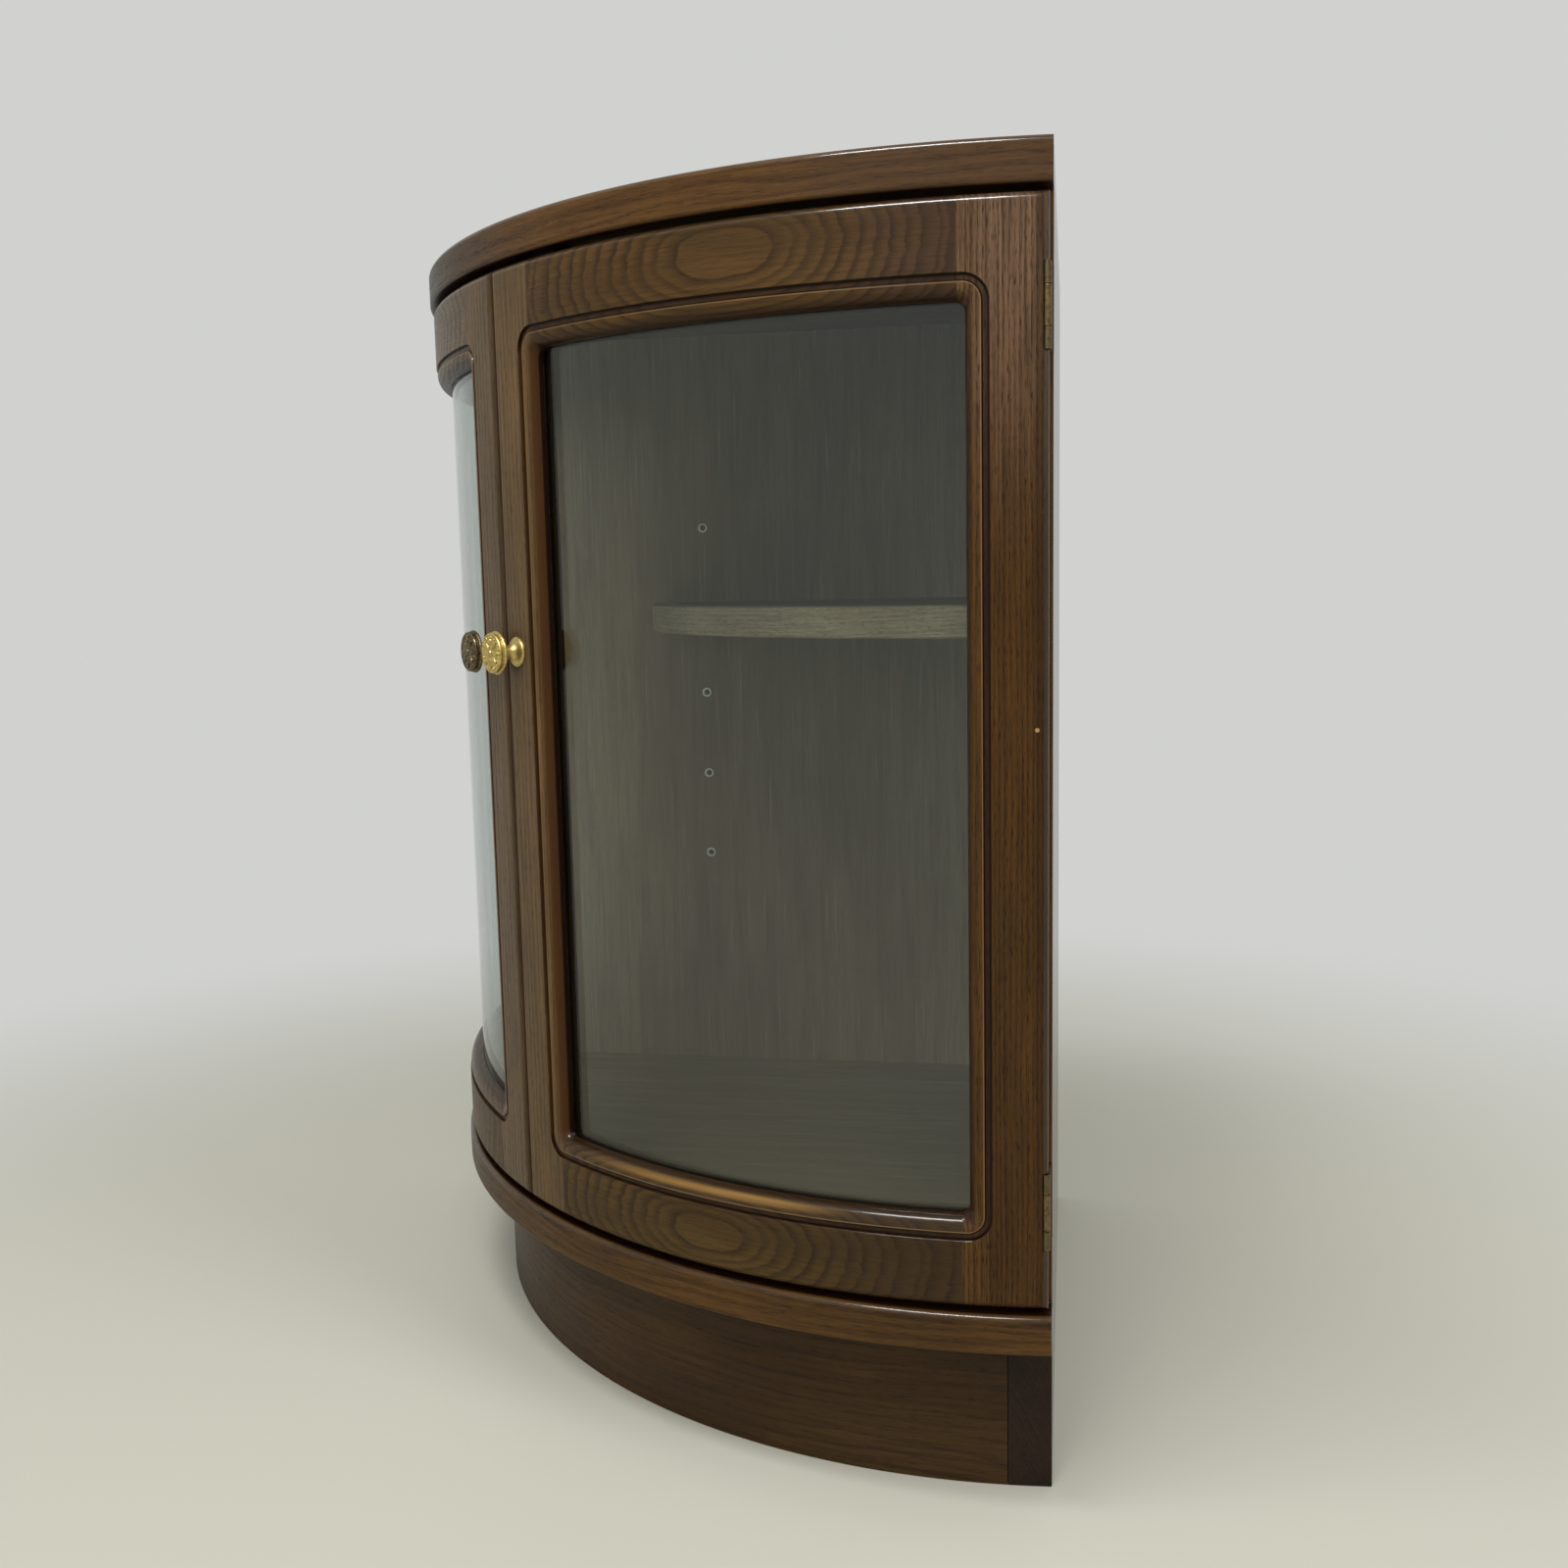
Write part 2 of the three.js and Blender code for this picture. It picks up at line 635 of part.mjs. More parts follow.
// Assembly
const cabinet = new THREE.Group();
const toWalls = overallWidth / 2 - arcInset;
cabinet.position.set(toWalls, toWalls, 0);

addBoard(cabinet, 'top', topBoardLow, topBoardRounding);
addBoard(cabinet, 'bottom', plinthHeight, bottomBoardRounding);
addPanels(cabinet);
addPlinth(cabinet);
addShelf(cabinet);

const frameShapes = doorFrameShapes();
const glazing = glazingShapes();
const hinges = hingeShapes();
for (const side of ['right', 'left']) {
  const onSide = (geometry) => (side === 'right' ? geometry : mirrored(geometry));
  for (const [name, geometry] of Object.entries(frameShapes)) {
    cabinet.add(part(`${side}_door_${name}`, onSide(geometry), frameOak));
  }
  for (const [name, geometry] of Object.entries(glazing)) {
    const material = name === 'glass' ? glassFinish : frameOak;
    cabinet.add(part(`${side}_door_${name}`, onSide(geometry), material));
  }
  addDoorFittings(cabinet, side, side === 'right' ? brightBrass : agedBrass);
  addCatch(cabinet, side);
  for (const [place, hingeLow] of Object.entries(hingeHeights)) {
    const hinge = new THREE.Group();
    hinge.position.set(side === 'right' ? pinX : pinY, side === 'right' ? pinY : pinX, hingeLow);
    for (const [name, geometry] of Object.entries(hinges)) {
      hinge.add(part(`${side}_${place}_hinge_${name}`, onSide(geometry), hingeBrass));
    }
    cabinet.add(hinge);
  }
}

export default cabinet;
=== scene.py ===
import json
import math
import bmesh
import bpy
from mathutils import Matrix, Vector


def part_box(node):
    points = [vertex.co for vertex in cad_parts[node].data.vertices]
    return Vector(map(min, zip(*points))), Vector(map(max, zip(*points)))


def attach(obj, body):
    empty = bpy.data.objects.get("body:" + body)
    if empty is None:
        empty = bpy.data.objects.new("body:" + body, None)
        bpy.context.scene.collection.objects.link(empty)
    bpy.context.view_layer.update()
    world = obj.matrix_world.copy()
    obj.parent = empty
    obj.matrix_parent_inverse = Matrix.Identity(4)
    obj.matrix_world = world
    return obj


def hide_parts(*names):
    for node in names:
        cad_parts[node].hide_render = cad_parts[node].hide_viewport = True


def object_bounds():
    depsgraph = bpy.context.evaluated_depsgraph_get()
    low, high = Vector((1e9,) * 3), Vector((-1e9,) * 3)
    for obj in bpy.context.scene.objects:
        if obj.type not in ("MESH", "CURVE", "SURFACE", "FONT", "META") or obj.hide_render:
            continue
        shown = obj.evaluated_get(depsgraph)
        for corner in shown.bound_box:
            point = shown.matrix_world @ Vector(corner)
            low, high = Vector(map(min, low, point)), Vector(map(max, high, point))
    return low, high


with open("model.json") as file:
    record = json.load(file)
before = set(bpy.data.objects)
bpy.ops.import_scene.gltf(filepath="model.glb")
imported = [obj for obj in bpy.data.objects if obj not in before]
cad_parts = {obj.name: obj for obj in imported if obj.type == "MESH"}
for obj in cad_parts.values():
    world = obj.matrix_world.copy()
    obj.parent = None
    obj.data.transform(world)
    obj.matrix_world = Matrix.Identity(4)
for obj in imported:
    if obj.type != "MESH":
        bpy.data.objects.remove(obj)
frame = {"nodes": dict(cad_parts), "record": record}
cadLow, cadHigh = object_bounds()
print("frame loaded:", len(frame["nodes"]), "nodes")

mm = 0.001
tiny = 0.01 * mm
gap = 0.3 * mm  # between pieces that meet
overrun = 6 * mm  # how far a cutting tool passes what it cuts
quarterTurn = math.pi / 2
bodies = frame["record"]["behaviour"]["bodies"]
bodyOf = {node: body for body, nodes in bodies.items() for node in nodes}

# The front is an arc whose centre lies the same way in from both walls
cabinet = {
    "wallInset": 46 * mm,
    "doorSetback": 2.5 * mm,
    "doorThickness": 21 * mm,
    "panelArris": 0.8 * mm,
}
arcCentre = Vector((cadHigh.x - cabinet["wallInset"], cadHigh.y - cabinet["wallInset"], 0))
boardRadius = cadHigh.x - cadLow.x - cabinet["wallInset"]
doorRadius = boardRadius - cabinet["doorSetback"]


# Modelling by hand: select, edit, finish with modifiers
def activate(piece):
    bpy.ops.object.select_all(action="DESELECT")
    piece.select_set(True)
    bpy.context.view_layer.objects.active = piece


def openEdit(piece, kind="FACE", chosen=None):
    activate(piece)
    bpy.ops.object.mode_set(mode="EDIT")
    bpy.ops.mesh.select_mode(type=kind)
    bpy.ops.mesh.select_all(action="DESELECT" if chosen else "SELECT")
    if chosen:
        mesh = bmesh.from_edit_mesh(piece.data)
        for item in {"VERT": mesh.verts, "EDGE": mesh.edges}[kind]:
            if chosen(item):
                item.select_set(True)
        bmesh.update_edit_mesh(piece.data)


def closeEdit():
    bpy.ops.object.mode_set(mode="OBJECT")


def applyPlace(piece):
    activate(piece)
    bpy.ops.object.transform_apply(location=True, rotation=True, scale=True)


def moveTo(piece, location=(0, 0, 0), rotation=(0, 0, 0), scale=(1, 1, 1)):
    piece.location, piece.rotation_euler, piece.scale = location, rotation, scale
    applyPlace(piece)


def applyModifier(piece, kind, **settings):
    activate(piece)
    modifier = piece.modifiers.new(kind, kind)
    for key, value in settings.items():
        setattr(modifier, key, value)
    bpy.ops.object.modifier_apply(modifier=modifier.name)


def turnOutward(piece):
    openEdit(piece)
    bpy.ops.mesh.remove_doubles(threshold=tiny / 10)
    bpy.ops.mesh.normals_make_consistent(inside=False)
    closeEdit()


def roundEdges(piece, width, segments=2, angle=30):
    applyModifier(piece, "BEVEL", width=width, segments=segments, limit_method="ANGLE",
                  angle_limit=math.radians(angle), use_clamp_overlap=True)


def shadeSmooth(piece, angle=35):
    activate(piece)
    bpy.ops.object.shade_smooth_by_angle(angle=math.radians(angle))


def cutWith(piece, tool, operation="DIFFERENCE"):
    applyModifier(piece, "BOOLEAN", object=tool, operation=operation, solver="EXACT")
    bpy.data.objects.remove(tool)


def extrudeSelected(offset, shares=None):
    bpy.ops.mesh.extrude_region_move(TRANSFORM_OT_translate={"value": offset})
    if shares:
        bpy.ops.transform.resize(value=shares)


def insetSelected(inset, drop):
    bpy.ops.mesh.inset(thickness=inset, depth=0)
    bpy.ops.transform.translate(value=(0, drop, 0))


def trim(piece, place, outward):
    openEdit(piece)
    bpy.ops.mesh.bisect(plane_co=place, plane_no=outward, use_fill=True, clear_outer=True)
    closeEdit()


def copyOf(piece, name):
    copy = piece.copy()
    copy.data = piece.data.copy()
    copy.name = name
    bpy.context.scene.collection.objects.link(copy)
    return copy


def joinPieces(pieces, name):
    bpy.ops.object.select_all(action="DESELECT")
    for piece in pieces:
        piece.select_set(True)
    bpy.context.view_layer.objects.active = pieces[0]
    bpy.ops.object.join()
    pieces[0].name = name
    return pieces[0]


# A primitive at its size and place, added with nothing else selected
def addPrimitive(operator, name, location=(0, 0, 0), rotation=(0, 0, 0), scale=(1, 1, 1), **settings):
    bpy.ops.object.select_all(action="DESELECT")
    operator(**settings)
    piece = bpy.context.object
    piece.name = name
    moveTo(piece, location, rotation, scale)
    return piece


def addBox(name, low, high):
    low, high = Vector(low), Vector(high)
    return addPrimitive(
        bpy.ops.mesh.primitive_cube_add, name, (low + high) / 2, scale=high - low, size=1)


# A box centred on the z axis, from one height to another
def addCentredBox(name, width, depth, low, high):
    return addBox(name, (-width / 2, -depth / 2, low), (width / 2, depth / 2, high))


def addRod(name, centre, radius, length, sides=32):
    return addPrimitive(
        bpy.ops.mesh.primitive_cylinder_add, name, centre, vertices=sides, radius=radius, depth=length)


# A turned piece grows from a disc by extruding it and sizing each new rim
def addTurned(name, profile, sides):
    radius, height = profile[0]
    piece = addPrimitive(
        bpy.ops.mesh.primitive_circle_add, name, (0, 0, height),
        vertices=sides, radius=radius, fill_type="NGON")
    openEdit(piece)
    for nextRadius, nextHeight in profile[1:]:
        share = nextRadius / radius
        extrudeSelected((0, 0, nextHeight - height), (share, share, 1))
        radius, height = nextRadius, nextHeight
    closeEdit()
    turnOutward(piece)
    return piece


# Cuts a form that stands round the origin off along both walls and moves it to the arc's centre
def fitToWalls(piece, wallReach):
    trim(piece, (wallReach, 0, 0), (1, 0, 0))
    trim(piece, (0, wallReach, 0), (0, 1, 0))
    moveTo(piece, arcCentre)


# A bar swept round the arc's centre and cut off by a plane along each wall
def addSweptBar(name, section, wallReach):
    inner, outer, low, high = (section[key] for key in ("inner", "outer", "low", "high"))
    bar = addPrimitive(
        bpy.ops.mesh.primitive_plane_add, name, ((inner + outer) / 2, 0, (low + high) / 2),
        (quarterTurn, 0, 0), (outer - inner, high - low, 1), size=1)
    for height, rounding in ((low, section["lowRounding"]), (high, section["highRounding"])):
        openEdit(bar, "VERT", lambda v: v.co.x > outer - tiny and abs(v.co.z - height) < tiny)
        bpy.ops.mesh.bevel(offset=rounding, segments=section["roundingSteps"], affect="VERTICES")
        closeEdit()
    openEdit(bar)
    sweep = quarterTurn + 2 * section["extraTurn"]
    bpy.ops.mesh.spin(steps=section["steps"], angle=sweep, center=(0, 0, 0), axis=(0, 0, 1))
    closeEdit()
    middle = sum((v.co for v in bar.data.vertices), Vector()) / len(bar.data.vertices)
    moveTo(bar, rotation=(0, 0, -3 * quarterTurn / 2 - math.atan2(middle.y, middle.x)))
    fitToWalls(bar, wallReach)
    turnOutward(bar)
    return bar


def mirrorCopy(piece, name):
    copy = copyOf(piece, name)
    moveTo(copy, -arcCentre)
    moveTo(copy, rotation=(0, 0, -quarterTurn), scale=(-1, 1, 1))
    moveTo(copy, arcCentre)
    turnOutward(copy)
    return copy


# A flat piece has x along the front from the meeting line, y inwards and z up; bending wraps it
# round the arc's centre
bending = {"step": 9 * mm}


def bendToFront(piece):
    places = [v.co.x for v in piece.data.vertices]
    start, end = min(places), max(places)
    count = max(1, math.ceil((end - start) / bending["step"]))
    for i in range(1, count):
        openEdit(piece)
        bpy.ops.mesh.bisect(
            plane_co=(start + (end - start) * i / count, 0, 0), plane_no=(1, 0, 0))
        closeEdit()
    applyModifier(piece, "SIMPLE_DEFORM", deform_method="BEND", deform_axis="Z",
                  angle=(end - start) / doorRadius)
    turn = Matrix.Rotation(-quarterTurn / 2, 4, "Z")
    moveTo(piece, arcCentre + turn @ Vector((0, -doorRadius, 0)), (0, 0, -quarterTurn / 2))


def middleHeight(node):
    low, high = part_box(node)
    return (low.z + high.z) / 2


# Stands a fitting on the right door: along the face, with its z axis out from it, as high as a node
def standOnFront(piece, along, node):
    angle = quarterTurn / 2 - along / doorRadius
    outward = Vector((-math.sin(angle), -math.cos(angle), 0))
    side = Vector((0, 0, 1)).cross(outward)
    piece.matrix_world = Matrix((
        (side.x, 0, outward.x, arcCentre.x + outward.x * doorRadius),
        (side.y, 0, outward.y, arcCentre.y + outward.y * doorRadius),
        (0, 1, 0, middleHeight(node)),
        (0, 0, 0, 1)))
    applyPlace(piece)


def finishPiece(piece, node, finish, smooth=35):
    piece.data.materials.clear()
    piece.data.materials.append(materials[finish])
    shadeSmooth(piece, smooth)
    applyModifier(piece, "WEIGHTED_NORMAL", keep_sharp=True)  # flat faces stay flat beside roundings
    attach(piece, bodyOf[node])
    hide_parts(node)


# The left side is the right side in a mirror, under the same names with left for right
def finishBothSides(piece, node, finish, leftFinish=None, smooth=35):
    twin = mirrorCopy(piece, piece.name.replace("right", "left").replace("Right", "Left"))
    finishPiece(piece, node, finish, smooth)
    finishPiece(twin, node.replace("right", "left"), leftFinish or finish, smooth)


# Doors: one flat frame with its moulded opening, cut into its four members and bent
door = {
    "meetingEdge": 1 * mm,
    "hingeInset": 1.8 * mm,
    "rounding": 5 * mm,
    "roundingSteps": 7,
    "meetingStileWidth": 52 * mm,
    "hingeStileWidth": 55.5 * mm,
    "stileFlat": 36 * mm,
    "railFlat": 45 * mm,
    "cornerRadius": 16.5 * mm,
    "cornerSteps": 9,
    "arrisWidth": 0.4 * mm,
    "quirkWidth": 4.2 * mm,
    "quirkDepth": 2.2 * mm,
    "beadStart": 5 * mm,
    "beadSetback": 0.8 * mm,
    "beadWidth": 10 * mm,
    "beadDrop": 8.2 * mm,
    "beadSteps": 9,
    "parallelSteps": 3,
    "lipDepth": 11.7 * mm,
    "rebateWidth": 7 * mm,
    "glassDepth": 12 * mm,
    "glassThickness": 4 * mm,
    "glassArris": 0.3 * mm,
    "glazingBeadWidth": 6.5 * mm,
    "glazingBeadArris": 1 * mm,
}
stileLow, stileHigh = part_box("right_door_hinge_stile")
door["low"], door["high"] = stileLow.z, stileHigh.z
outerReach = cabinet["wallInset"] - door["hingeInset"]
door["hingeEdge"] = doorRadius * (quarterTurn / 2 + math.asin(outerReach / doorRadius))
mouldingWidth = door["beadStart"] + door["beadWidth"]
sight = {
    "left": door["meetingEdge"] + door["stileFlat"] + mouldingWidth,
    "right": door["hingeEdge"] - door["stileFlat"] - mouldingWidth,
    "low": door["low"] + door["railFlat"] + mouldingWidth,
    "high": door["high"] - door["railFlat"] - mouldingWidth,
}
sightWidth, sightHeight = sight["right"] - sight["left"], sight["high"] - sight["low"]
sightAlong, sightMiddle = (sight["left"] + sight["right"]) / 2, (sight["low"] + sight["high"]) / 2


def makeMouldingCutter():
    arris = door["arrisWidth"]
    wide = sightWidth + 2 * (mouldingWidth + 2 * arris)
    tall = sightHeight + 2 * (mouldingWidth + 2 * arris)
    cutter = addPrimitive(
        bpy.ops.mesh.primitive_plane_add, "mouldingCutter", (sightAlong, -arris, sightMiddle),
        (quarterTurn, 0, 0), (wide, tall, 1), size=1)
    openEdit(cutter, "VERT")
    bpy.ops.mesh.bevel(
        offset=door["cornerRadius"] + 2 * arris, segments=door["cornerSteps"], affect="VERTICES")
    bpy.ops.mesh.select_mode(type="FACE")
    bpy.ops.mesh.select_all(action="SELECT")
    extrudeSelected((0, 2 * arris, 0), (1 - 4 * arris / wide, 1, 1 - 4 * arris / tall))
    extrudeSelected((0, door["quirkDepth"] - arris, 0))
    insetSelected(door["quirkWidth"], 0)
    insetSelected(door["beadStart"] - door["quirkWidth"], door["beadSetback"] - door["quirkDepth"])
    lastInset, lastDepth = 0, 0
    wide, tall = (size - 4 * arris - 2 * door["beadStart"] for size in (wide, tall))
    for i in range(1, door["beadSteps"] + 1):
        angle = i / door["beadSteps"] * quarterTurn
        inset = door["beadWidth"] * math.sin(angle)
        depth = door["beadDrop"] * (1 - math.cos(angle))
        if i <= door["parallelSteps"]:
            insetSelected(inset - lastInset, depth - lastDepth)
        else:
            wideShare, tallShare = ((size - 2 * inset) / (size - 2 * lastInset) for size in (wide, tall))
            extrudeSelected((0, depth - lastDepth, 0), (wideShare, 1, tallShare))
        lastInset, lastDepth = inset, depth
    extrudeSelected((0, cabinet["doorThickness"] + overrun, 0))
    closeEdit()
    turnOutward(cutter)
    return cutter


def makeFlatFrame():
    blank = addBox(
        "flatFrame", (door["meetingEdge"], 0, door["low"]),
        (door["hingeEdge"], cabinet["doorThickness"], door["high"]))
    openEdit(blank, "EDGE", lambda edge: all(abs(v.co.y) < tiny for v in edge.verts))
    bpy.ops.mesh.bevel(offset=door["rounding"], segments=door["roundingSteps"], affect="EDGES")
    closeEdit()
    cutWith(blank, makeMouldingCutter())
    rebate = door["rebateWidth"]
    cutWith(blank, addBox(
        "rebate", (sight["left"] - rebate, door["lipDepth"], sight["low"] - rebate),
        (sight["right"] + rebate, cabinet["doorThickness"] + overrun, sight["high"] + rebate)))
    return blank


def cutHingeNotches(stile):
    room = hinge["runningGap"]
    for place in ("lower", "upper"):
        low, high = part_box(f"right_{place}_hinge_pin")
        pin = (low + high) / 2
        cutWith(stile, addBox(
            "slot", (pin.x - room, pin.y - overrun, low.z - gap),
            (pin.x + 2 * overrun, pin.y + 5 * overrun, high.z + gap)))
        cutWith(stile, addRod(
            "bore", pin, hinge["knuckleRadius"] + room, high.z - low.z + 2 * gap, hinge["boreSides"]))


def makeDoors():
    flat = makeFlatFrame()
    left = (door["meetingEdge"] + door["meetingStileWidth"], 0, 0)
    right = (door["hingeEdge"] - door["hingeStileWidth"], 0, 0)
    middle = (0, 0, (door["low"] + door["high"]) / 2)
    ends = [(left, (-1, 0, 0)), (right, (1, 0, 0))]
    members = {
        "meeting_stile": ([(left, (1, 0, 0))], "meetingStile", None),
        "hinge_stile": ([(right, (-1, 0, 0))], "stile", None),
        "top_rail": (ends + [(middle, (0, 0, -1))], "topRail", "leftTopRail"),
        "bottom_rail": (ends + [(middle, (0, 0, 1))], "bottomRail", "leftBottomRail"),
    }
    for member, (cuts, finish, leftFinish) in members.items():
        piece = copyOf(flat, "rightDoor_" + member)
        for place, outward in cuts:
            trim(piece, place, outward)
        bendToFront(piece)
        if member == "hinge_stile":
            cutHingeNotches(piece)
        finishBothSides(piece, "right_door_" + member, finish, leftFinish)
    bpy.data.objects.remove(flat)
    print("door frames made")


def makeGlazing():
    edge = door["rebateWidth"] - gap
    left, right = sight["left"] - edge, sight["right"] + edge
    low, high = sight["low"] - edge, sight["high"] + edge
    width = door["glazingBeadWidth"]
    glassBack = door["glassDepth"] + door["glassThickness"]
    front, back = glassBack + gap, cabinet["doorThickness"]
    sideLow, sideHigh = low + width + gap, high - width - gap
    boxes = {
        "glass": ((left, door["glassDepth"], low), (right, glassBack, high)),
        "top_glazing_bead": ((left, front, high - width), (right, back, high)),
        "bottom_glazing_bead": ((left, front, low), (right, back, low + width)),
        "meeting_side_glazing_bead": ((left, front, sideLow), (left + width, back, sideHigh)),
        "hinge_side_glazing_bead": ((right - width, front, sideLow), (right, back, sideHigh)),
    }
    for name, (lowCorner, highCorner) in boxes.items():
        piece = addBox("rightDoor_" + name, lowCorner, highCorner)
        finish = "glass" if name == "glass" else "glazingBead"
        roundEdges(piece, door[finish + "Arris"])
        bendToFront(piece)
        finishBothSides(piece, "right_door_" + name, finish, smooth=15)
    print("glass and its beads made")


# Boards, each a core panel with a lipping along its front
boards = {
    "lippingWidth": 22 * mm,
    "seam": 0.15 * mm,
    "topRounding": 4 * mm,
    "bottomRounding": 3.5 * mm,
    "lowerRounding": 2 * mm,
    "roundingSteps": 8,
    "steps": 110,
    "extraTurn": math.radians(6),
    "coreSides": 360,
}


def makeBoards():
    wall = cabinet["wallInset"]
    inner = boardRadius - boards["lippingWidth"]
    for name, coreFinish in (("top", "topBoard"), ("bottom", "veneerBoard")):
        low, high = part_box(name + "_board")
        lipping = addSweptBar(name + "Lipping", {
            **boards, "inner": inner, "outer": boardRadius, "low": low.z, "high": high.z,
            "lowRounding": boards["lowerRounding"], "highRounding": boards[name + "Rounding"]}, wall)
        finishPiece(lipping, name + "_board_lipping", name + "Lipping")
        core = addRod(
            name + "Core", (0, 0, (low.z + high.z) / 2), inner - boards["seam"],
            high.z - low.z, boards["coreSides"])
        fitToWalls(core, wall)
        finishPiece(core, name + "_board", coreFinish, 20)
    print("boards made")


plinth = {
    "recess": 34.5 * mm, "thickness": 18 * mm, "railThickness": 29.5 * mm, "railArris": 0.6 * mm,
    "railSpare": 20 * mm, "roundSides": 720, "lowRounding": 0.8 * mm, "highRounding": 0.4 * mm,
    "roundingSteps": 2, "steps": 110, "extraTurn": math.radians(4),
}


def makePlinth():
    radius = boardRadius - plinth["recess"]
    low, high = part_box("plinth_front_board")
    edge = cabinet["wallInset"] - plinth["railThickness"] - gap
    board = addSweptBar("plinthFront", {
        **plinth, "inner": radius - plinth["thickness"], "outer": radius, "low": low.z,
        "high": high.z}, edge)
    finishPiece(board, "plinth_front_board", "plinth")
    spare = plinth["railSpare"]
    for side, more, finish in (("right", (0, spare, 0), "rail"), ("left", (spare, 0, 0), "railSide")):
        node = f"plinth_{side}_rail"
        low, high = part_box(node)
        rail = addBox(side + "PlinthRail", low - Vector(more), high)
        cutWith(rail, addRod(
            "roundTool", arcCentre + Vector((0, 0, high.z / 2)), radius, high.z + spare,
            plinth["roundSides"]), "INTERSECT")
        roundEdges(rail, plinth["railArris"])
        finishPiece(rail, node, finish, 30)
    print("plinth made")


shelf = {
    "radius": 382 * mm, "nosingWidth": 22 * mm, "sideGap": 0.7 * mm, "lowRounding": 2 * mm,
    "highRounding": 2 * mm, "roundingSteps": 4, "steps": 90, "extraTurn": 0,
}


def makeShelf():
    low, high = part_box("shelf_nosing")
    reach = cadHigh.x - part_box("right_side_panel")[0].x + shelf["sideGap"]
    nosing = addSweptBar("shelfNosing", {
        **shelf, "inner": shelf["radius"] - shelf["nosingWidth"], "outer": shelf["radius"],
        "low": low.z, "high": high.z}, -reach)
    moveTo(nosing, Vector((cadHigh.x, cadHigh.y, 0)) - arcCentre)
    finishPiece(nosing, "shelf_nosing", "nosing")
    print("shelf nosing made")


# Knobs: a turned rose, neck and dished head with a raised rosette
knob = {
    "along": 19 * mm, "radius": 15.75 * mm, "length": 24 * mm, "sides": 96,
    "outlineShares": (
        (0.7, 0.0), (0.7, 0.04), (0.68, 0.065), (0.63, 0.095), (0.54, 0.13), (0.45, 0.17),
        (0.37, 0.23), (0.32, 0.31), (0.295, 0.4), (0.29, 0.48), (0.3, 0.55), (0.35, 0.6),
        (0.48, 0.635), (0.72, 0.65), (0.9, 0.66), (0.97, 0.675), (1.0, 0.7), (1.0, 0.735),
        (0.975, 0.765), (0.93, 0.78), (0.895, 0.79), (0.89, 0.805), (0.91, 0.82), (0.935, 0.84),
        (0.94, 0.87), (0.925, 0.9), (0.89, 0.92), (0.85, 0.925), (0.83, 0.915), (0.8, 0.905),
        (0.6, 0.925), (0.4, 0.94), (0.2, 0.95), (0.04, 0.955),
    ),
}
# How many of each, how far from the middle, their size, and their height as a share of the knob's
rosette = {
    "petals": (8, 7.2 * mm, (4.1 * mm, 1.9 * mm, 0.9 * mm), 0.935),
    "studs": (24, 11.6 * mm, (0.75 * mm, 0.75 * mm, 0.75 * mm), 0.905),
    "boss": (1, 0, (2.6 * mm, 2.6 * mm, 1.3 * mm), 0.95),
}


def addRosettePart(name, count, place, size, heightShare):
    first = addPrimitive(
        bpy.ops.mesh.primitive_uv_sphere_add, name, (place, 0, heightShare * knob["length"]),
        scale=size, segments=16, ring_count=10, radius=1)
    copies = [first]
    for i in range(1, count):
        copy = copyOf(first, name + str(i))
        moveTo(copy, rotation=(0, 0, i / count * 4 * quarterTurn))
        copies.append(copy)
    return copies


def makeKnobs():
    profile = [(r * knob["radius"], h * knob["length"]) for r, h in knob["outlineShares"]]
    parts = [addTurned("knobBody", profile, knob["sides"])]
    for name, sizes in rosette.items():
        parts += addRosettePart(name, *sizes)
    whole = joinPieces(parts, "rightKnob")
    standOnFront(whole, knob["along"], "right_knob")
    # The left knob takes a darker copy of the brass: painted shade
    finishBothSides(whole, "right_knob", "brightBrass", "shadedBrass")
    print("knobs made")


# Hinges: knuckles, a pin and two leaves with countersunk screws
hinge = {
    "knuckleRadius": 2.3 * mm, "middleShare": 0.47, "knuckleGap": 0.4 * mm, "runningGap": 0.5 * mm,
    "knuckleArris": 0.25 * mm, "boreSides": 48, "leaf": 1.1 * mm, "leafArris": 0.15 * mm,
    "pinRadius": 1.1 * mm, "pinArris": 0.3 * mm, "pinSides": 24, "screwRadius": 2.3 * mm,
    "screwProud": 0.1 * mm, "screwPlaces": (-0.34, 0, 0.34), "screwTurns": (0.5, 1.4, 2.3),
    "screwFromPin": 9.5 * mm, "flangeScrewFromPin": 5.5 * mm,
}
screwHead = {
    "depth": 0.3 * mm, "slotDepth": 0.35 * mm, "slotWidth": 0.55 * mm, "slotShare": 0.8, "sides": 32,
    "outlineShares": ((1, 0), (0.94, 0.8), (0.02, 1)),
}


def addScrewHead(radius, proud):
    outline = [(radius * r, proud * h) for r, h in screwHead["outlineShares"]]
    head = addTurned("screwHead", [(radius, -screwHead["depth"])] + outline, screwHead["sides"])
    cutWith(head, addCentredBox(
        "slot", 2 * radius * screwHead["slotShare"], screwHead["slotWidth"],
        proud - screwHead["slotDepth"], proud + screwHead["slotDepth"]))
    return head


def addLeafScrews(x, y, middle, length, rotation):
    heads = []
    for turn, share in zip(hinge["screwTurns"], hinge["screwPlaces"]):
        head = addScrewHead(hinge["screwRadius"], hinge["screwProud"])
        moveTo(head, rotation=(0, 0, turn))
        moveTo(head, (x, y, middle + share * length), rotation)
        heads.append(head)
    return heads


def addKnuckle(centre, length):
    knuckle = addRod("knuckle", centre, hinge["knuckleRadius"], length)
    roundEdges(knuckle, hinge["knuckleArris"], angle=60)
    return knuckle


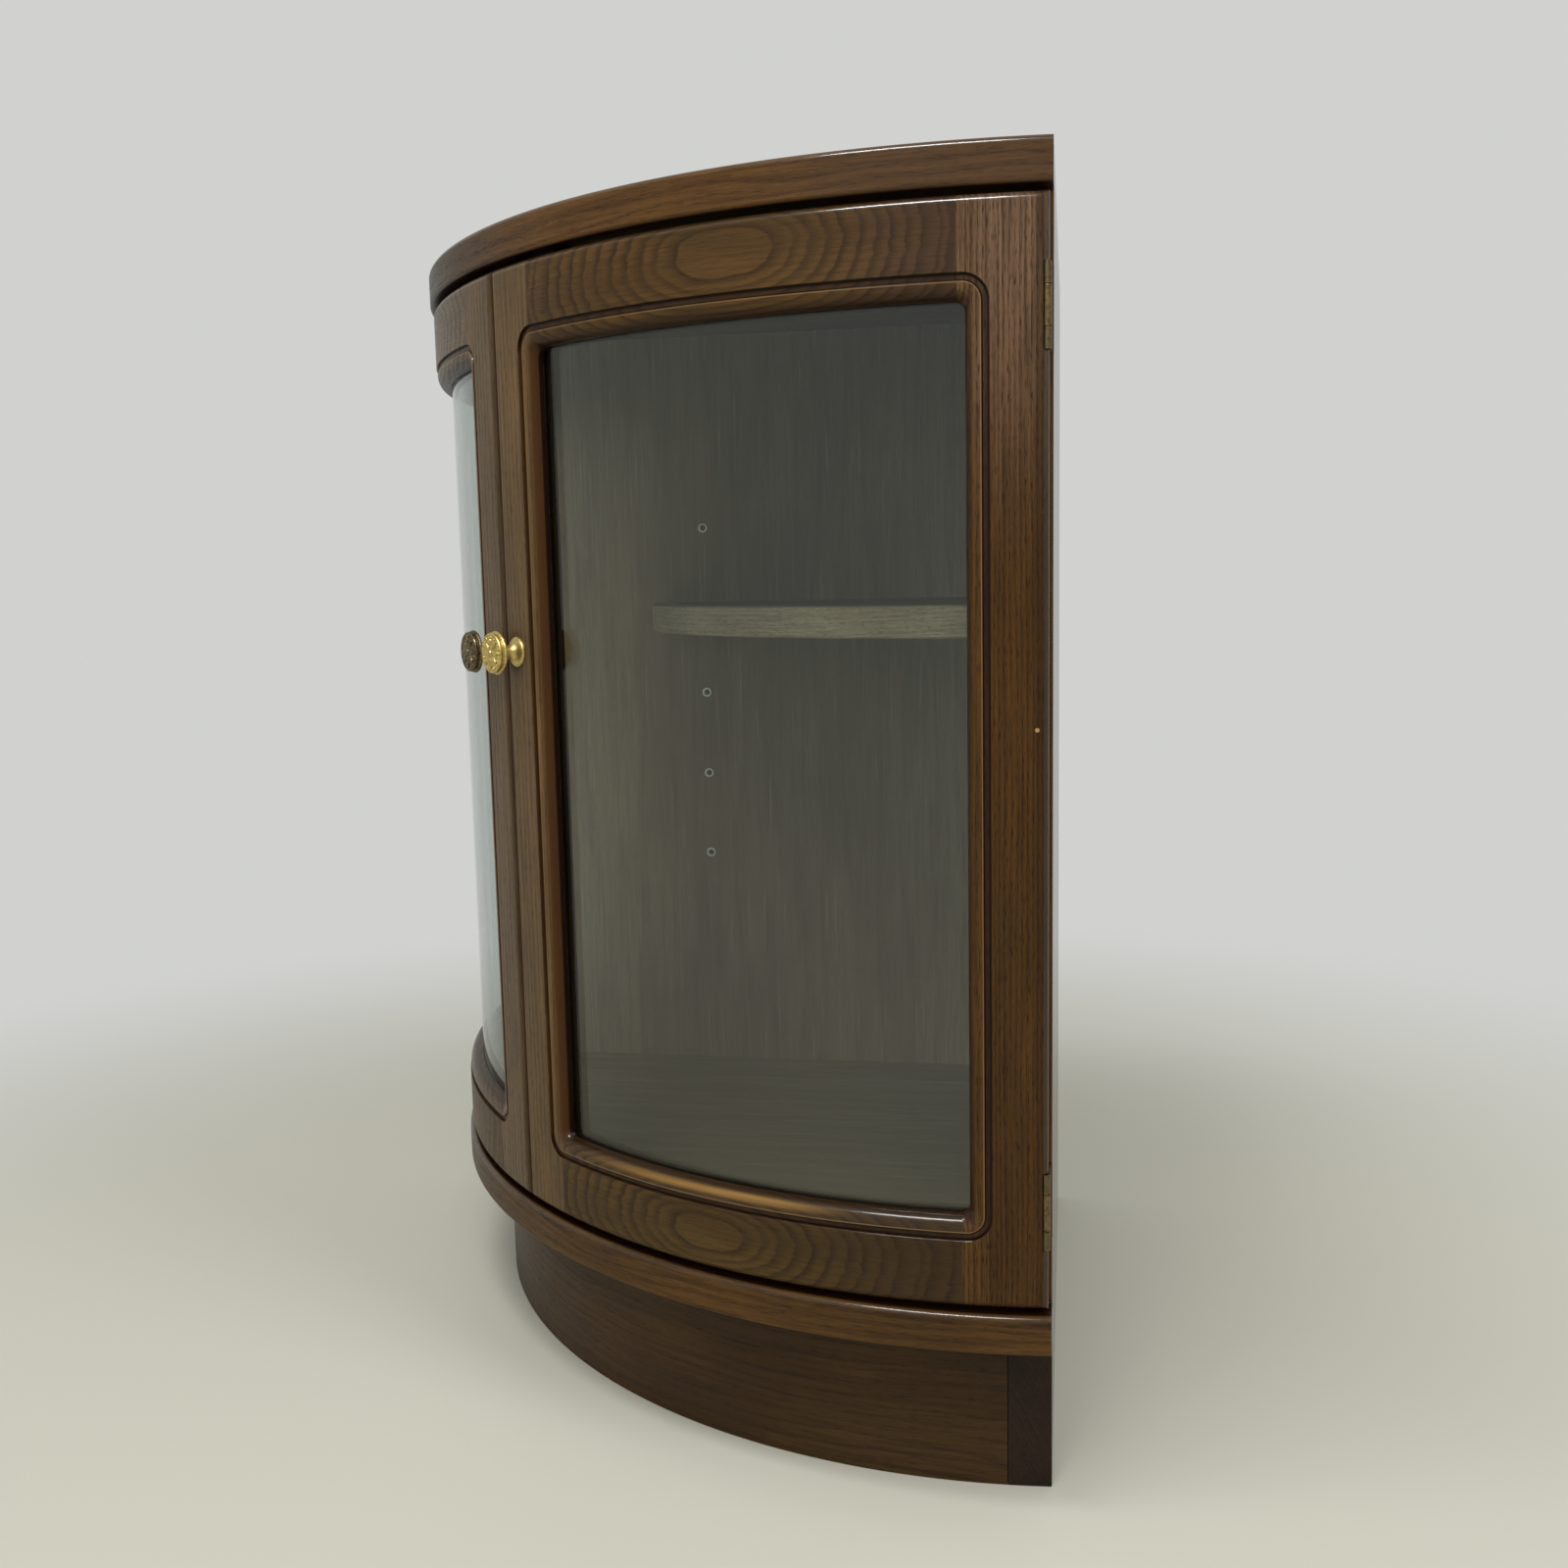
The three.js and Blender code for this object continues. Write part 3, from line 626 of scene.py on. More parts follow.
def makeHinge(place):
    pinLow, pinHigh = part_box(f"right_{place}_hinge_pin")
    axis, length = (pinLow + pinHigh) / 2, pinHigh.z - pinLow.z
    middle = length * hinge["middleShare"]
    endLength = (length - middle) / 2 - hinge["knuckleGap"]
    clearance = hinge["knuckleRadius"] + gap
    endOffset = middle / 2 + hinge["knuckleGap"] + endLength / 2
    clearOffset = middle / 2 + endLength / 2 + overrun

    flangeLow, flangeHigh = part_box(f"right_{place}_hinge_frame_leaf")
    flangeFace = flangeHigh.y - hinge["leaf"]
    web = addBox("web", (flangeHigh.x - hinge["leaf"], axis.y, pinLow.z), flangeHigh)
    cutWith(web, addBox("flange", (flangeLow.x, flangeFace, pinLow.z), flangeHigh), "UNION")
    roundEdges(web, hinge["leafArris"])
    cutWith(web, addRod("clear", axis, clearance, middle + 2 * hinge["knuckleGap"]))
    screws = addLeafScrews(
        axis.x - hinge["flangeScrewFromPin"], flangeFace, axis.z, length, (quarterTurn, 0, 0))
    ends = [addKnuckle(axis + Vector((0, 0, endOffset * sign)), endLength) for sign in (-1, 1)]
    frameLeaf = joinPieces([web] + screws + ends, f"right{place.title()}FrameLeaf")

    leafLow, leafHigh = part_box(f"right_{place}_hinge_door_leaf")
    leafFace = flangeHigh.x - hinge["leaf"] - gap
    plate = addBox("plate", (leafFace - hinge["leaf"], axis.y, leafLow.z),
                   (leafFace, leafHigh.y, leafHigh.z))
    roundEdges(plate, hinge["leafArris"])
    for sign in (-1, 1):
        centre = axis + Vector((0, 0, clearOffset * sign))
        cutWith(plate, addRod("clear", centre, clearance, endLength + 2 * overrun))
    barrel = addKnuckle(axis, middle)
    screws = addLeafScrews(
        leafFace, axis.y + hinge["screwFromPin"], axis.z, length, (0, quarterTurn, 0))
    doorLeaf = joinPieces([plate, barrel] + screws, f"right{place.title()}DoorLeaf")

    pin = addRod(f"right{place.title()}Pin", axis, hinge["pinRadius"], length, hinge["pinSides"])
    roundEdges(pin, hinge["pinArris"], angle=60)
    finishBothSides(frameLeaf, f"right_{place}_hinge_frame_leaf", "dullBrass")
    finishBothSides(doorLeaf, f"right_{place}_hinge_door_leaf", "hingeBrass")
    finishBothSides(pin, f"right_{place}_hinge_pin", "hingeBrass")


def makeHinges():
    for place in ("lower", "upper"):
        makeHinge(place)
    print("hinges made")


# Catches under the top board, with two pole plates each
catch = {
    "along": 31 * mm, "width": 40 * mm, "height": 12 * mm, "depth": 14 * mm, "back": 37.9 * mm,
    "arris": 0.9 * mm, "poleWidth": 26 * mm, "poleHeight": 2 * mm, "poleDepth": 3 * mm,
    "poleProud": 0.4 * mm, "poleApart": 5.5 * mm, "poleArris": 0.2 * mm,
}


def makeCatches():
    front = catch["depth"] - catch["back"]
    body = addCentredBox("rightCatch", catch["width"], catch["height"], -catch["back"], front)
    roundEdges(body, catch["arris"], 3)
    poles = []
    for side in (-1, 1):
        pole = addCentredBox(
            "pole", catch["poleWidth"], catch["poleHeight"], front - catch["poleDepth"],
            front + catch["poleProud"])
        moveTo(pole, (0, side * catch["poleApart"] / 2, 0))
        roundEdges(pole, catch["poleArris"])
        poles.append(pole)
    polePair = joinPieces(poles, "rightCatchPoles")
    for piece, finish in ((body, "plastic"), (polePair, "steel")):
        standOnFront(piece, catch["along"], "right_magnetic_catch")
        finishBothSides(piece, "right_magnetic_catch", finish)
    print("catches made")


# The plates on the doors that the catches hold
strike = {
    "width": 24 * mm, "height": 10 * mm, "face": 22.5 * mm, "back": 21.3 * mm, "arris": 0.35 * mm,
    "screwRadius": 2.1 * mm, "screwProud": 0.2 * mm, "screwAside": 7 * mm,
}


def makeStrikes():
    plate = addCentredBox(
        "rightStrike", strike["width"], strike["height"], -strike["face"], -strike["back"])
    roundEdges(plate, strike["arris"])
    heads = []
    for side in (-1, 1):
        head = addScrewHead(strike["screwRadius"], strike["screwProud"])
        moveTo(head, (side * strike["screwAside"], 0, -strike["face"]), (2 * quarterTurn, 0, 0))
        heads.append(head)
    whole = joinPieces([plate] + heads, "rightStrike")
    standOnFront(whole, catch["along"], "right_strike_plate")
    finishBothSides(whole, "right_strike_plate", "steel")
    print("strike plates made")


# Knob screws with a cross slot; the head's outline gives radius and height above its seat
knobScrew = {
    "radius": 2 * mm, "reach": 11 * mm, "sides": 40, "headOutline": (
        (4.5 * mm, 0), (4.5 * mm, 1 * mm), (3.9 * mm, 1.9 * mm), (2.4 * mm, 2.4 * mm),
        (0.05 * mm, 2.5 * mm)),
    "slotLength": 5.2 * mm, "slotWidth": 0.9 * mm, "slotFloor": 1.4 * mm, "slotTop": 3 * mm,
}


def makeKnobScrews():
    seat = -cabinet["doorThickness"] - gap
    shank = [(knobScrew["radius"], knobScrew["reach"]), (knobScrew["radius"], seat)]
    head = [(radius, seat - height) for radius, height in knobScrew["headOutline"]]
    screw = addTurned("rightKnobScrew", shank + head, knobScrew["sides"])
    for turn in (0, quarterTurn):
        tool = addCentredBox(
            "slot", knobScrew["slotLength"], knobScrew["slotWidth"],
            seat - knobScrew["slotTop"], seat - knobScrew["slotFloor"])
        moveTo(tool, rotation=(0, 0, turn))
        cutWith(screw, tool)
    standOnFront(screw, knob["along"], "right_knob_screw")
    finishBothSides(screw, "right_knob_screw", "steel")
    print("knob screws made")


# Rows of shelf holes, each with a light metal sleeve
holes = {
    "rows": 5, "lowest": 346 * mm, "pitch": 79 * mm, "insets": {"Front": 338 * mm, "Back": 70 * mm},
    "tubeRadius": 3.2 * mm, "tubeDepth": 8 * mm, "boreRadius": 3.05 * mm, "collarRadius": 4.3 * mm,
    "collarStart": 0.02 * mm, "collarHeight": 0.5 * mm, "collarArris": 0.3 * mm, "sides": 36,
    "collarSideShare": 0.55, "mouthShare": 0.6,
}


def makeSleeves():
    tube, collar, top = holes["tubeRadius"], holes["collarRadius"], holes["collarHeight"]
    start, depth = holes["collarStart"], holes["tubeDepth"]
    sleeve = addTurned("sleeve", (
        (tube, -depth), (tube, start), (collar, start), (collar, top * holes["collarSideShare"]),
        (collar - holes["collarArris"], top), (tube * holes["mouthShare"], top)), holes["sides"])
    cutWith(sleeve, addRod("bore", (0, 0, -depth / 2), holes["boreRadius"], 2 * depth, holes["sides"]))
    moveTo(sleeve, rotation=(0, -quarterTurn, 0))
    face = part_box("right_side_panel")[0].x
    for column, inset in holes["insets"].items():
        for row in range(holes["rows"]):
            right = copyOf(sleeve, f"rightSleeve{column}{row + 1}")
            moveTo(right, (face, cadHigh.y - inset, holes["lowest"] + row * holes["pitch"]))
            left = mirrorCopy(right, f"leftSleeve{column}{row + 1}")
            for piece in (right, left):
                piece.data.materials.append(materials["nickel"])
                shadeSmooth(piece)
                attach(piece, bodyOf["right_side_panel"])
    bpy.data.objects.remove(sleeve)
    print("sleeves made")


# The four pins that carry the shelf; each end's outline gives a share of the radius and a distance
shelfPin = {"endOutline": ((0.84, 0), (0.97, 0.4 * mm), (1, 0.9 * mm)), "sides": 36}


def makeShelfPins():
    for column in ("front", "back"):
        low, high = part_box(f"shelf_pin_right_{column}")
        half, radius = (high.x - low.x) / 2, (high.z - low.z) / 2
        start = [(radius * share, inset - half) for share, inset in shelfPin["endOutline"]]
        end = [(size, -place) for size, place in reversed(start)]
        pin = addTurned("shelfPinRight" + column.title(), start + end, shelfPin["sides"])
        moveTo(pin, (low + high) / 2, (0, quarterTurn, 0))
        finishBothSides(pin, f"shelf_pin_right_{column}", "steel")
    print("shelf pins made")


# The solid edges of the two side panels, let in for the hinges
def makePanelLippings():
    low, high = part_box("right_panel_lipping")
    edge = addBox("rightPanelLipping", low, high)
    roundEdges(edge, cabinet["panelArris"], 3)
    for place in ("lower", "upper"):
        leafLow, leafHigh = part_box(f"right_{place}_hinge_frame_leaf")
        cutWith(edge, addBox(
            "slot", (leafLow.x - gap, low.y - overrun, leafLow.z - gap),
            (high.x + overrun, leafHigh.y + gap, leafHigh.z + gap)))
    finishBothSides(edge, "right_panel_lipping", "panelEdge")
    print("panel edges made")


def dressPlainNodes():
    plain = {
        "right_side_panel": "veneerSide", "left_side_panel": "veneer", "back_corner_post": "veneer",
        "shelf_board": "veneerBoard", "plinth_right_block": "block", "plinth_left_block": "block",
        "plinth_back_block": "block",
    }
    for node, finish in plain.items():
        slots = frame["nodes"][node].data.materials
        slots.clear()
        slots.append(materials[finish])
    print("plain nodes dressed")


# Shader maths written as expressions
class Wire:
    def __init__(self, finish, socket):
        self.finish = finish
        self.socket = socket

    def math(self, operation, *values, clamp=False):
        settings = {"operation": operation, "use_clamp": clamp}
        return self.finish.add("ShaderNodeMath", settings, dict(enumerate(values)))

    def __add__(self, other):
        return self.math("ADD", self, other)

    __radd__ = __add__

    def __sub__(self, other):
        return self.math("SUBTRACT", self, other)

    def __rsub__(self, other):
        return self.math("SUBTRACT", other, self)

    def __mul__(self, other):
        return self.math("MULTIPLY", self, other)

    __rmul__ = __mul__

    def __truediv__(self, other):
        return self.math("DIVIDE", self, other)

    def __pow__(self, other):
        return self.math("POWER", self, other)

    def __abs__(self):
        return self.math("ABSOLUTE", self)

    def atLeast(self, other):
        return self.math("MAXIMUM", self, other)

    def atMost(self, other):
        return self.math("MINIMUM", self, other)

    def clamped(self):
        return self.math("ADD", self, 0, clamp=True)

    def ramp(self, low, high):
        return self.finish.add(
            "ShaderNodeMapRange", {"interpolation_type": "SMOOTHSTEP"},
            {"Value": self, "From Min": low, "From Max": high})


class Finish:
    def __init__(self, name, owner=None):
        self.material = owner or bpy.data.materials.new(name)
        self.material.use_nodes = True
        self.tree = self.material.node_tree
        self.tree.nodes.clear()

    def add(self, kind, settings=None, inputs=None, output=0):
        node = self.tree.nodes.new(kind)
        for key, value in (settings or {}).items():
            setattr(node, key, value)
        for key, value in (inputs or {}).items():
            socket = node.inputs[key]
            if isinstance(value, Wire):
                self.tree.links.new(value.socket, socket)
            else:
                socket.default_value = value
        return Wire(self, node.outputs[output]) if len(node.outputs) else None

    def place(self):
        return self.add("ShaderNodeTexCoord", output="Object")

    def parts(self, vector):
        split = self.add("ShaderNodeSeparateXYZ", None, {0: vector})
        return [Wire(self, socket) for socket in split.socket.node.outputs]

    def join(self, x, y, z):
        return self.add("ShaderNodeCombineXYZ", None, {0: x, 1: y, 2: z})

    def noise(self, vector, detail, scale=1):
        return self.add("ShaderNodeTexNoise", None, {"Vector": vector, "Scale": scale, "Detail": detail})

    def mix(self, share, first, second):
        return self.add(
            "ShaderNodeMix", {"data_type": "RGBA"}, {"Factor": share, 6: first, 7: second}, output=2)

    # Lays one colour after another over the first, each by its share
    def layers(self, colour, coats):
        for share, shade in coats:
            colour = self.mix(share, colour, shade)
        return colour

    def bump(self, height, distance, strength):
        return self.add("ShaderNodeBump", None, {
            "Height": height, "Distance": distance, "Strength": strength})

    def principled(self, inputs):
        return self.add("ShaderNodeBsdfPrincipled", None, inputs)

    def show(self, shader):
        self.add("ShaderNodeOutputMaterial", None, {"Surface": shader})


def distance(x, y):
    return x.math("SQRT", x * x + y * y)


def lineAt(place, centre, width):
    return 1 - abs(place - centre).ramp(width * 0.35, width)


# An sRGB colour as it looks, turned to the linear numbers that a shader takes
def tint(red, green, blue):
    def linear(value):
        share = value / 255
        return share / 12.92 if share <= 0.04045 else ((share + 0.055) / 1.055) ** 2.4
    return (linear(red), linear(green), linear(blue), 1)


# One stain in its light, middle and dark places and in its pores
def stain(red, green, blue):
    return {
        "light": tint(red * 1.2, green * 1.2, blue * 1.15), "middle": tint(red, green, blue),
        "dark": tint(red * 0.64, green * 0.62, blue * 0.66),
        "pore": tint(red * 0.36, green * 0.3, blue * 0.34)}


oak = {
    **stain(84, 57, 27),
    # Painted shade for the grooves, the reveals by the glass, the gaps at the doors and the meeting edge
    "recess": tint(28, 11, 4),
    # Painted shade on the meeting-side jamb's bead
    "shade": tint(66, 38, 3),
    # Painted highlight along the bead's edge
    "arris": tint(140, 110, 74),
    "bare": tint(176, 138, 92),
    # Painted highlight on the bottom bead
    "beadHighlightColour": tint(146, 110, 56),
    "fibreShare": 0.25,
    "coatWeight": 0.15,
    "edgeGloss": 0.45,
    "sideGloss": 0.8,
    "coatIor": 1.5,
    "coatRoughness": 0.15,
    "specular": 0.06,
    "roughness": 0.42,
    "bumpHeight": 0.1 * mm,
    "bumpStrength": 0.5,
}

# Where a board's grain runs, how its growth rings show on it, and how open its pores are
straightGrain = {
    "way": "up", "heart": (0, 0), "oval": 0, "first": 0, "ringWidth": 3.3 * mm, "lean": 0.5,
    "warp": 7 * mm, "ripple": 1.2 * mm, "rippleLength": 45 * mm, "rippleWidth": 6 * mm,
    "bandShare": 0.42, "lineShare": 0.16, "poreShare": 0.75, "poreLength": 8.5 * mm,
    "poreWidth": 0.45 * mm, "poreRows": 0.11, "streakShare": 0.45, "tighten": 0, "uneven": 1.4,
}
railGrain = {
    **straightGrain, "way": "round", "oval": 2.4, "first": 16 * mm, "ringWidth": 5.6 * mm,
    "lean": 0.8, "ripple": 3.4 * mm, "rippleLength": 34 * mm, "rippleWidth": 7 * mm,
    "bandShare": 0.8, "lineShare": 0.12, "poreShare": 0.4, "poreLength": 12 * mm,
    "poreWidth": 0.5 * mm, "poreRows": 0.05, "streakShare": 0.35, "uneven": 1.1, "quirk": True,
}
lippingGrain = {
    **straightGrain, "way": "round", "ringWidth": 9 * mm, "warp": 34 * mm, "bandShare": 0.34,
    "lineShare": 0.15, "poreShare": 0.5,
}
veneerGrain = {
    **straightGrain, "bandShare": 0.13, "lineShare": 0.1, "poreShare": 0.2, "streakShare": 0.25,
    "ringWidth": 26 * mm, "warp": 60 * mm, "ripple": 6 * mm, "uneven": 0.8, "fleckShare": 0.4,
    "outside": tint(64, 47, 32), "drifts": (("across", 0.09, 0.2, tint(142, 128, 104), 0.7),),
}
veneerLook = {
    "light": tint(128, 112, 88), "middle": tint(114, 98, 76), "dark": tint(92, 76, 58),
    "pore": tint(80, 64, 48), "fleck": tint(158, 144, 118), "coatWeight": 0.06, "roughness": 0.5,
}


# Along the grain, across it and through the board, for each way that a board lies; then round the
# front, up and in from the door's face; then how near the wall
def grainWays(finish, way):
    x, y, z = finish.parts(finish.place())
    fromCentreX, fromCentreY = x - arcCentre.x, y - arcCentre.y
    diagonal = math.sqrt(0.5)
    ahead = (fromCentreX + fromCentreY) * -diagonal
    aside = (fromCentreX - fromCentreY) * diagonal
    around = aside.math("ARCTAN2", aside, ahead) * doorRadius
    depth = doorRadius - distance(fromCentreX, fromCentreY)
    ways = {
        "up": (z, around, depth), "round": (around, z, depth), "alongX": (x, y, z),
        "alongY": (y, x, z), "upX": (z, x, y), "upY": (z, y, x),
    }
    return ways[way], (around, z, depth), x.atLeast(y)


# Growth rings in cloudy wood: dark early wood in bands, with a line at its edge and pores along it
def boardPatterns(finish, grain, along, across, through):
    u, v = along - grain["heart"][0], across - grain["heart"][1]

    def noise(alongScale, acrossScale, detail):
        place = finish.join(u * alongScale, v * acrossScale, through * acrossScale)
        return finish.noise(place, detail)

    warp = noise(4, 22, 2) - 0.5
    ripple = noise(1 / grain["rippleLength"], 1 / grain["rippleWidth"], 3) - 0.5
    radius = v
    if grain["oval"]:
        power = 2.4  # a little squarer than an ellipse
        beyond = u.atLeast(0) / grain["oval"]
        stretched = abs(u) / grain["oval"] + beyond * beyond * grain["tighten"]
        radius = (stretched ** power + abs(v) ** power) ** (1 / power)
    radius = radius + through * grain["lean"] + warp * grain["warp"] + ripple * grain["ripple"]
    ring = (radius - grain["first"]) / grain["ringWidth"]
    years = finish.noise(finish.join(ring * 0.8, ring * 0.3, 0), 1)
    phase = ring.math("FRACT", ring + 0.3 + (years - 0.5) * grain["uneven"])
    early = phase.ramp(0.0, 0.2) * (1 - phase.ramp(0.25, 0.85))
    line = lineAt(phase, 0.2, 0.14)
    if grain["oval"]:
        outsideHeart = ring.ramp(-0.75, -0.3)
        early, line = early * outsideHeart, line * outsideHeart
    patch = noise(16, 50, 2).ramp(0.3, 0.62)
    band = early * (patch * 0.4 + 0.6) * (years.ramp(0.35, 0.6) * 0.45 + 0.6)
    spots = noise(1 / grain["poreLength"], 1 / grain["poreWidth"], 1)
    patterns = {
        "ripple": ripple, "band": band, "line": line * patch, "streak": noise(14, 420, 2),
        "pore": (spots + band * grain["poreRows"]).ramp(0.6, 0.68), "fibre": noise(60, 1500, 2),
        "cloud": noise(7, 26, 3).ramp(0.3, 0.7),
    }
    if grain.get("fleckShare"):
        patterns["fleck"] = noise(9, 520, 2).ramp(0.62, 0.73)
    return patterns


# Painted shade and painted highlights of the moulding, and where it shines, by how far inside its
# outline or behind the door's face they lie
moulding = {
    "faceEnds": (3 * mm, 4 * mm),
    "beadEnds": (12 * mm, 13 * mm),
    "grooves": ((0.7 * mm, 1 * mm), (4.5 * mm, 0.8 * mm)),
    "floorStarts": (0, 1 * mm),
    "floorEnds": (4 * mm, 5 * mm),
    "brightLine": (5.3 * mm, 0.6 * mm),
    "jambEnds": (50 * mm, 60 * mm),
    "jambGoldenShade": (1 * mm, 3.5 * mm),
    "jambDark": (7.5 * mm, 9 * mm),
    "innerDark": (8.5 * mm, 15 * mm),
    "beadHighlightStarts": (7 * mm, 11 * mm),
    "beadHighlightEnds": (11.5 * mm, 14 * mm),
    "beadHighlightHeight": 6 * mm,
    "glossStarts": (4.5 * mm, 5.5 * mm),
    "glossHeights": (2 * mm, 6 * mm),
    "edgeStart": 0.5 * mm,
    "edgeEnd": 2 * mm,
}


# How far a place lies inside the rounded outline where the moulding starts
def insideMoulding(around, z):
    radius = door["cornerRadius"]
    over = abs(abs(around) - sightAlong) - (sightWidth / 2 + mouldingWidth - radius)
    above = abs(z - sightMiddle) - (sightHeight / 2 + mouldingWidth - radius)
    corner = distance(over.atLeast(0), above.atLeast(0))
    return radius - corner - over.atLeast(above).atMost(0)


# Painted shade and painted highlights laid as coats on a door's face and moulding, and where its lacquer
# shines
def shadeDoor(grain, look, along, around, z, depth, streak):
    def until(place, name):
        return 1 - place.ramp(*moulding[name])

    inside, side = insideMoulding(around, z), abs(around)
    face, bead, jamb = until(depth, "faceEnds"), until(depth, "beadEnds"), until(side, "jambEnds")
    # Painted shade: dark lines in the quirk's two grooves and a darker band on its floor
    first, second = (lineAt(inside, *groove) for groove in moulding["grooves"])
    floor = inside.ramp(*moulding["floorStarts"]) * until(inside, "floorEnds") * 0.5
    # Painted highlight: a light line along the bead's edge
    bright = lineAt(inside, *moulding["brightLine"]) * face * 0.5
    # Painted shade: golden brown on the meeting-side jamb's bead, darker towards the glass all round,
    # near black deep in the jamb
    jambGoldenShade = depth.ramp(*moulding["jambGoldenShade"]) * jamb * bead * 0.9
    innerDark = inside.ramp(*moulding["innerDark"]) * (0.7 - jamb * 0.45)
    jambDark = depth.ramp(*moulding["jambDark"]) * jamb
    coats = [
        ((first + second + floor).clamped() * face, look["recess"]),
        (bright, look["arris"]),
        (jambGoldenShade, look["shade"]),
        ((innerDark + jambDark).clamped() * bead, look["recess"])]
    # Painted highlight: a golden band along part of the bottom bead
    if grain.get("beadHighlight"):
        risingFrom, fullFrom, fullTo, goneBy = grain["beadHighlight"]
        beadHighlight = along.ramp(risingFrom, fullFrom) * (1 - along.ramp(fullTo, goneBy))
        beadHighlight = beadHighlight * inside.ramp(*moulding["beadHighlightStarts"]) * until(inside, "beadHighlightEnds")
        beadHighlight = beadHighlight * (1 - z.ramp(sight["low"], sight["low"] + moulding["beadHighlightHeight"]))
        coats.append((beadHighlight * (streak * 1.1 + 0.2).clamped(), look["beadHighlightColour"]))
    # Painted shade on the left door's rounding at the meeting line
    leftwards, rounding = around * -1, door["rounding"]
    meetingEdgeShade = leftwards.ramp(
        door["meetingEdge"] + rounding, door["meetingEdge"] + moulding["edgeEnd"])
    coats.append((meetingEdgeShade * leftwards.ramp(0, moulding["edgeStart"]) * 0.5, look["recess"]))
    low = 1 - z.ramp(*(sight["low"] + height for height in moulding["glossHeights"]))
    polished = z.ramp(door["high"] - rounding, door["high"] - 0.7 * rounding)
    polished = polished + side.ramp(door["hingeEdge"] - rounding, door["hingeEdge"] - 0.5 * rounding)
    polished = polished + inside.ramp(*moulding["glossStarts"]) * low * 0.4
    return coats, polished.clamped()


# Stained open-pore oak: cloudy stain, dark rings of early wood and pores that lie along them, with
# painted shade and painted highlights where a wood's settings ask for them
def makeOak(name, grain, changes):
    look = {**oak, **changes}
    finish = Finish(name)
    (along, across, through), (around, z, depth), toWall = grainWays(finish, grain["way"])
    seen = boardPatterns(finish, grain, along, across, through)
    band, fibre, pore, streak = (seen[key] for key in ("band", "fibre", "pore", "streak"))
    reach = {"along": abs(along), "across": abs(across), "left": around * -1}
    coats = [(seen["cloud"], look["light"])]
    for axis, start, end, shade, share in grain.get("drifts", ()):
        coats.append((reach[axis].ramp(start, end) * share, shade))
    coats += [
        (band * grain["bandShare"], look["dark"]),
        (streak.ramp(0.4, 0.7) * grain["streakShare"], look["dark"]),
        (fibre.ramp(0.35, 0.75) * look["fibreShare"], look["dark"]),
        (seen["line"] * grain["lineShare"], look["pore"]),
        (pore * grain["poreShare"], look["pore"])]
    if grain.get("fleckShare"):
        coats.append((seen["fleck"] * grain["fleckShare"], look["fleck"]))
    height = 1 - pore * 0.7 - fibre * 0.2
    gloss = toWall.ramp(cadHigh.x - 0.6 * mm, cadHigh.x - 0.2 * mm) * look["sideGloss"]
    gloss = gloss + look["coatWeight"]
    if grain.get("rounded"):
        gloss = z.ramp(grain["rounded"], grain["rounded"] + 1 * mm) * look["edgeGloss"] + gloss
    if grain.get("quirk"):
        doorCoats, polished = shadeDoor(grain, look, along, around, z, depth, streak)
        coats += doorCoats
        gloss = polished * look["edgeGloss"] + gloss
    for alongPlace, acrossPlace, size in grain.get("wear", ()):
        du, dv = (along - alongPlace) / size, (across - acrossPlace) / size
        chip = 1 - (du * du + dv * dv + seen["ripple"] * 0.8).ramp(0.5, 1.0)
        coats.append((chip * 0.8, look["bare"]))
        height = height - chip * 2
    # Painted shade on the lipping's face that lies in the gap above or below the doors
    if grain.get("paintedGapShade"):
        level, past, inwards = grain["paintedGapShade"]
        coats.append((z.ramp(level, past) * depth.ramp(inwards, inwards + 1 * mm), look["recess"]))
    if grain.get("outside"):
        wallSide = finish.mix(pore * 0.7 + band * 0.3, grain["outside"], look["pore"])
        coats.append((toWall.ramp(cadHigh.x - 3 * mm, cadHigh.x - 1 * mm), wallSide))
    finish.show(finish.principled({
        "Base Color": finish.layers(look["middle"], coats),
        "Roughness": fibre * 0.1 + pore * 0.15 + (look["roughness"] - 0.05),
        "Normal": finish.bump(height, look["bumpHeight"], look["bumpStrength"]),
        "Specular IOR Level": look["specular"], "Coat Weight": gloss,
        "Coat IOR": look["coatIor"], "Coat Roughness": look["coatRoughness"]}))
    return finish.material


nearJoint = door["hingeEdge"] - door["hingeStileWidth"]
topLow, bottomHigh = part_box("top_board")[0].z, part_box("bottom_board")[1].z

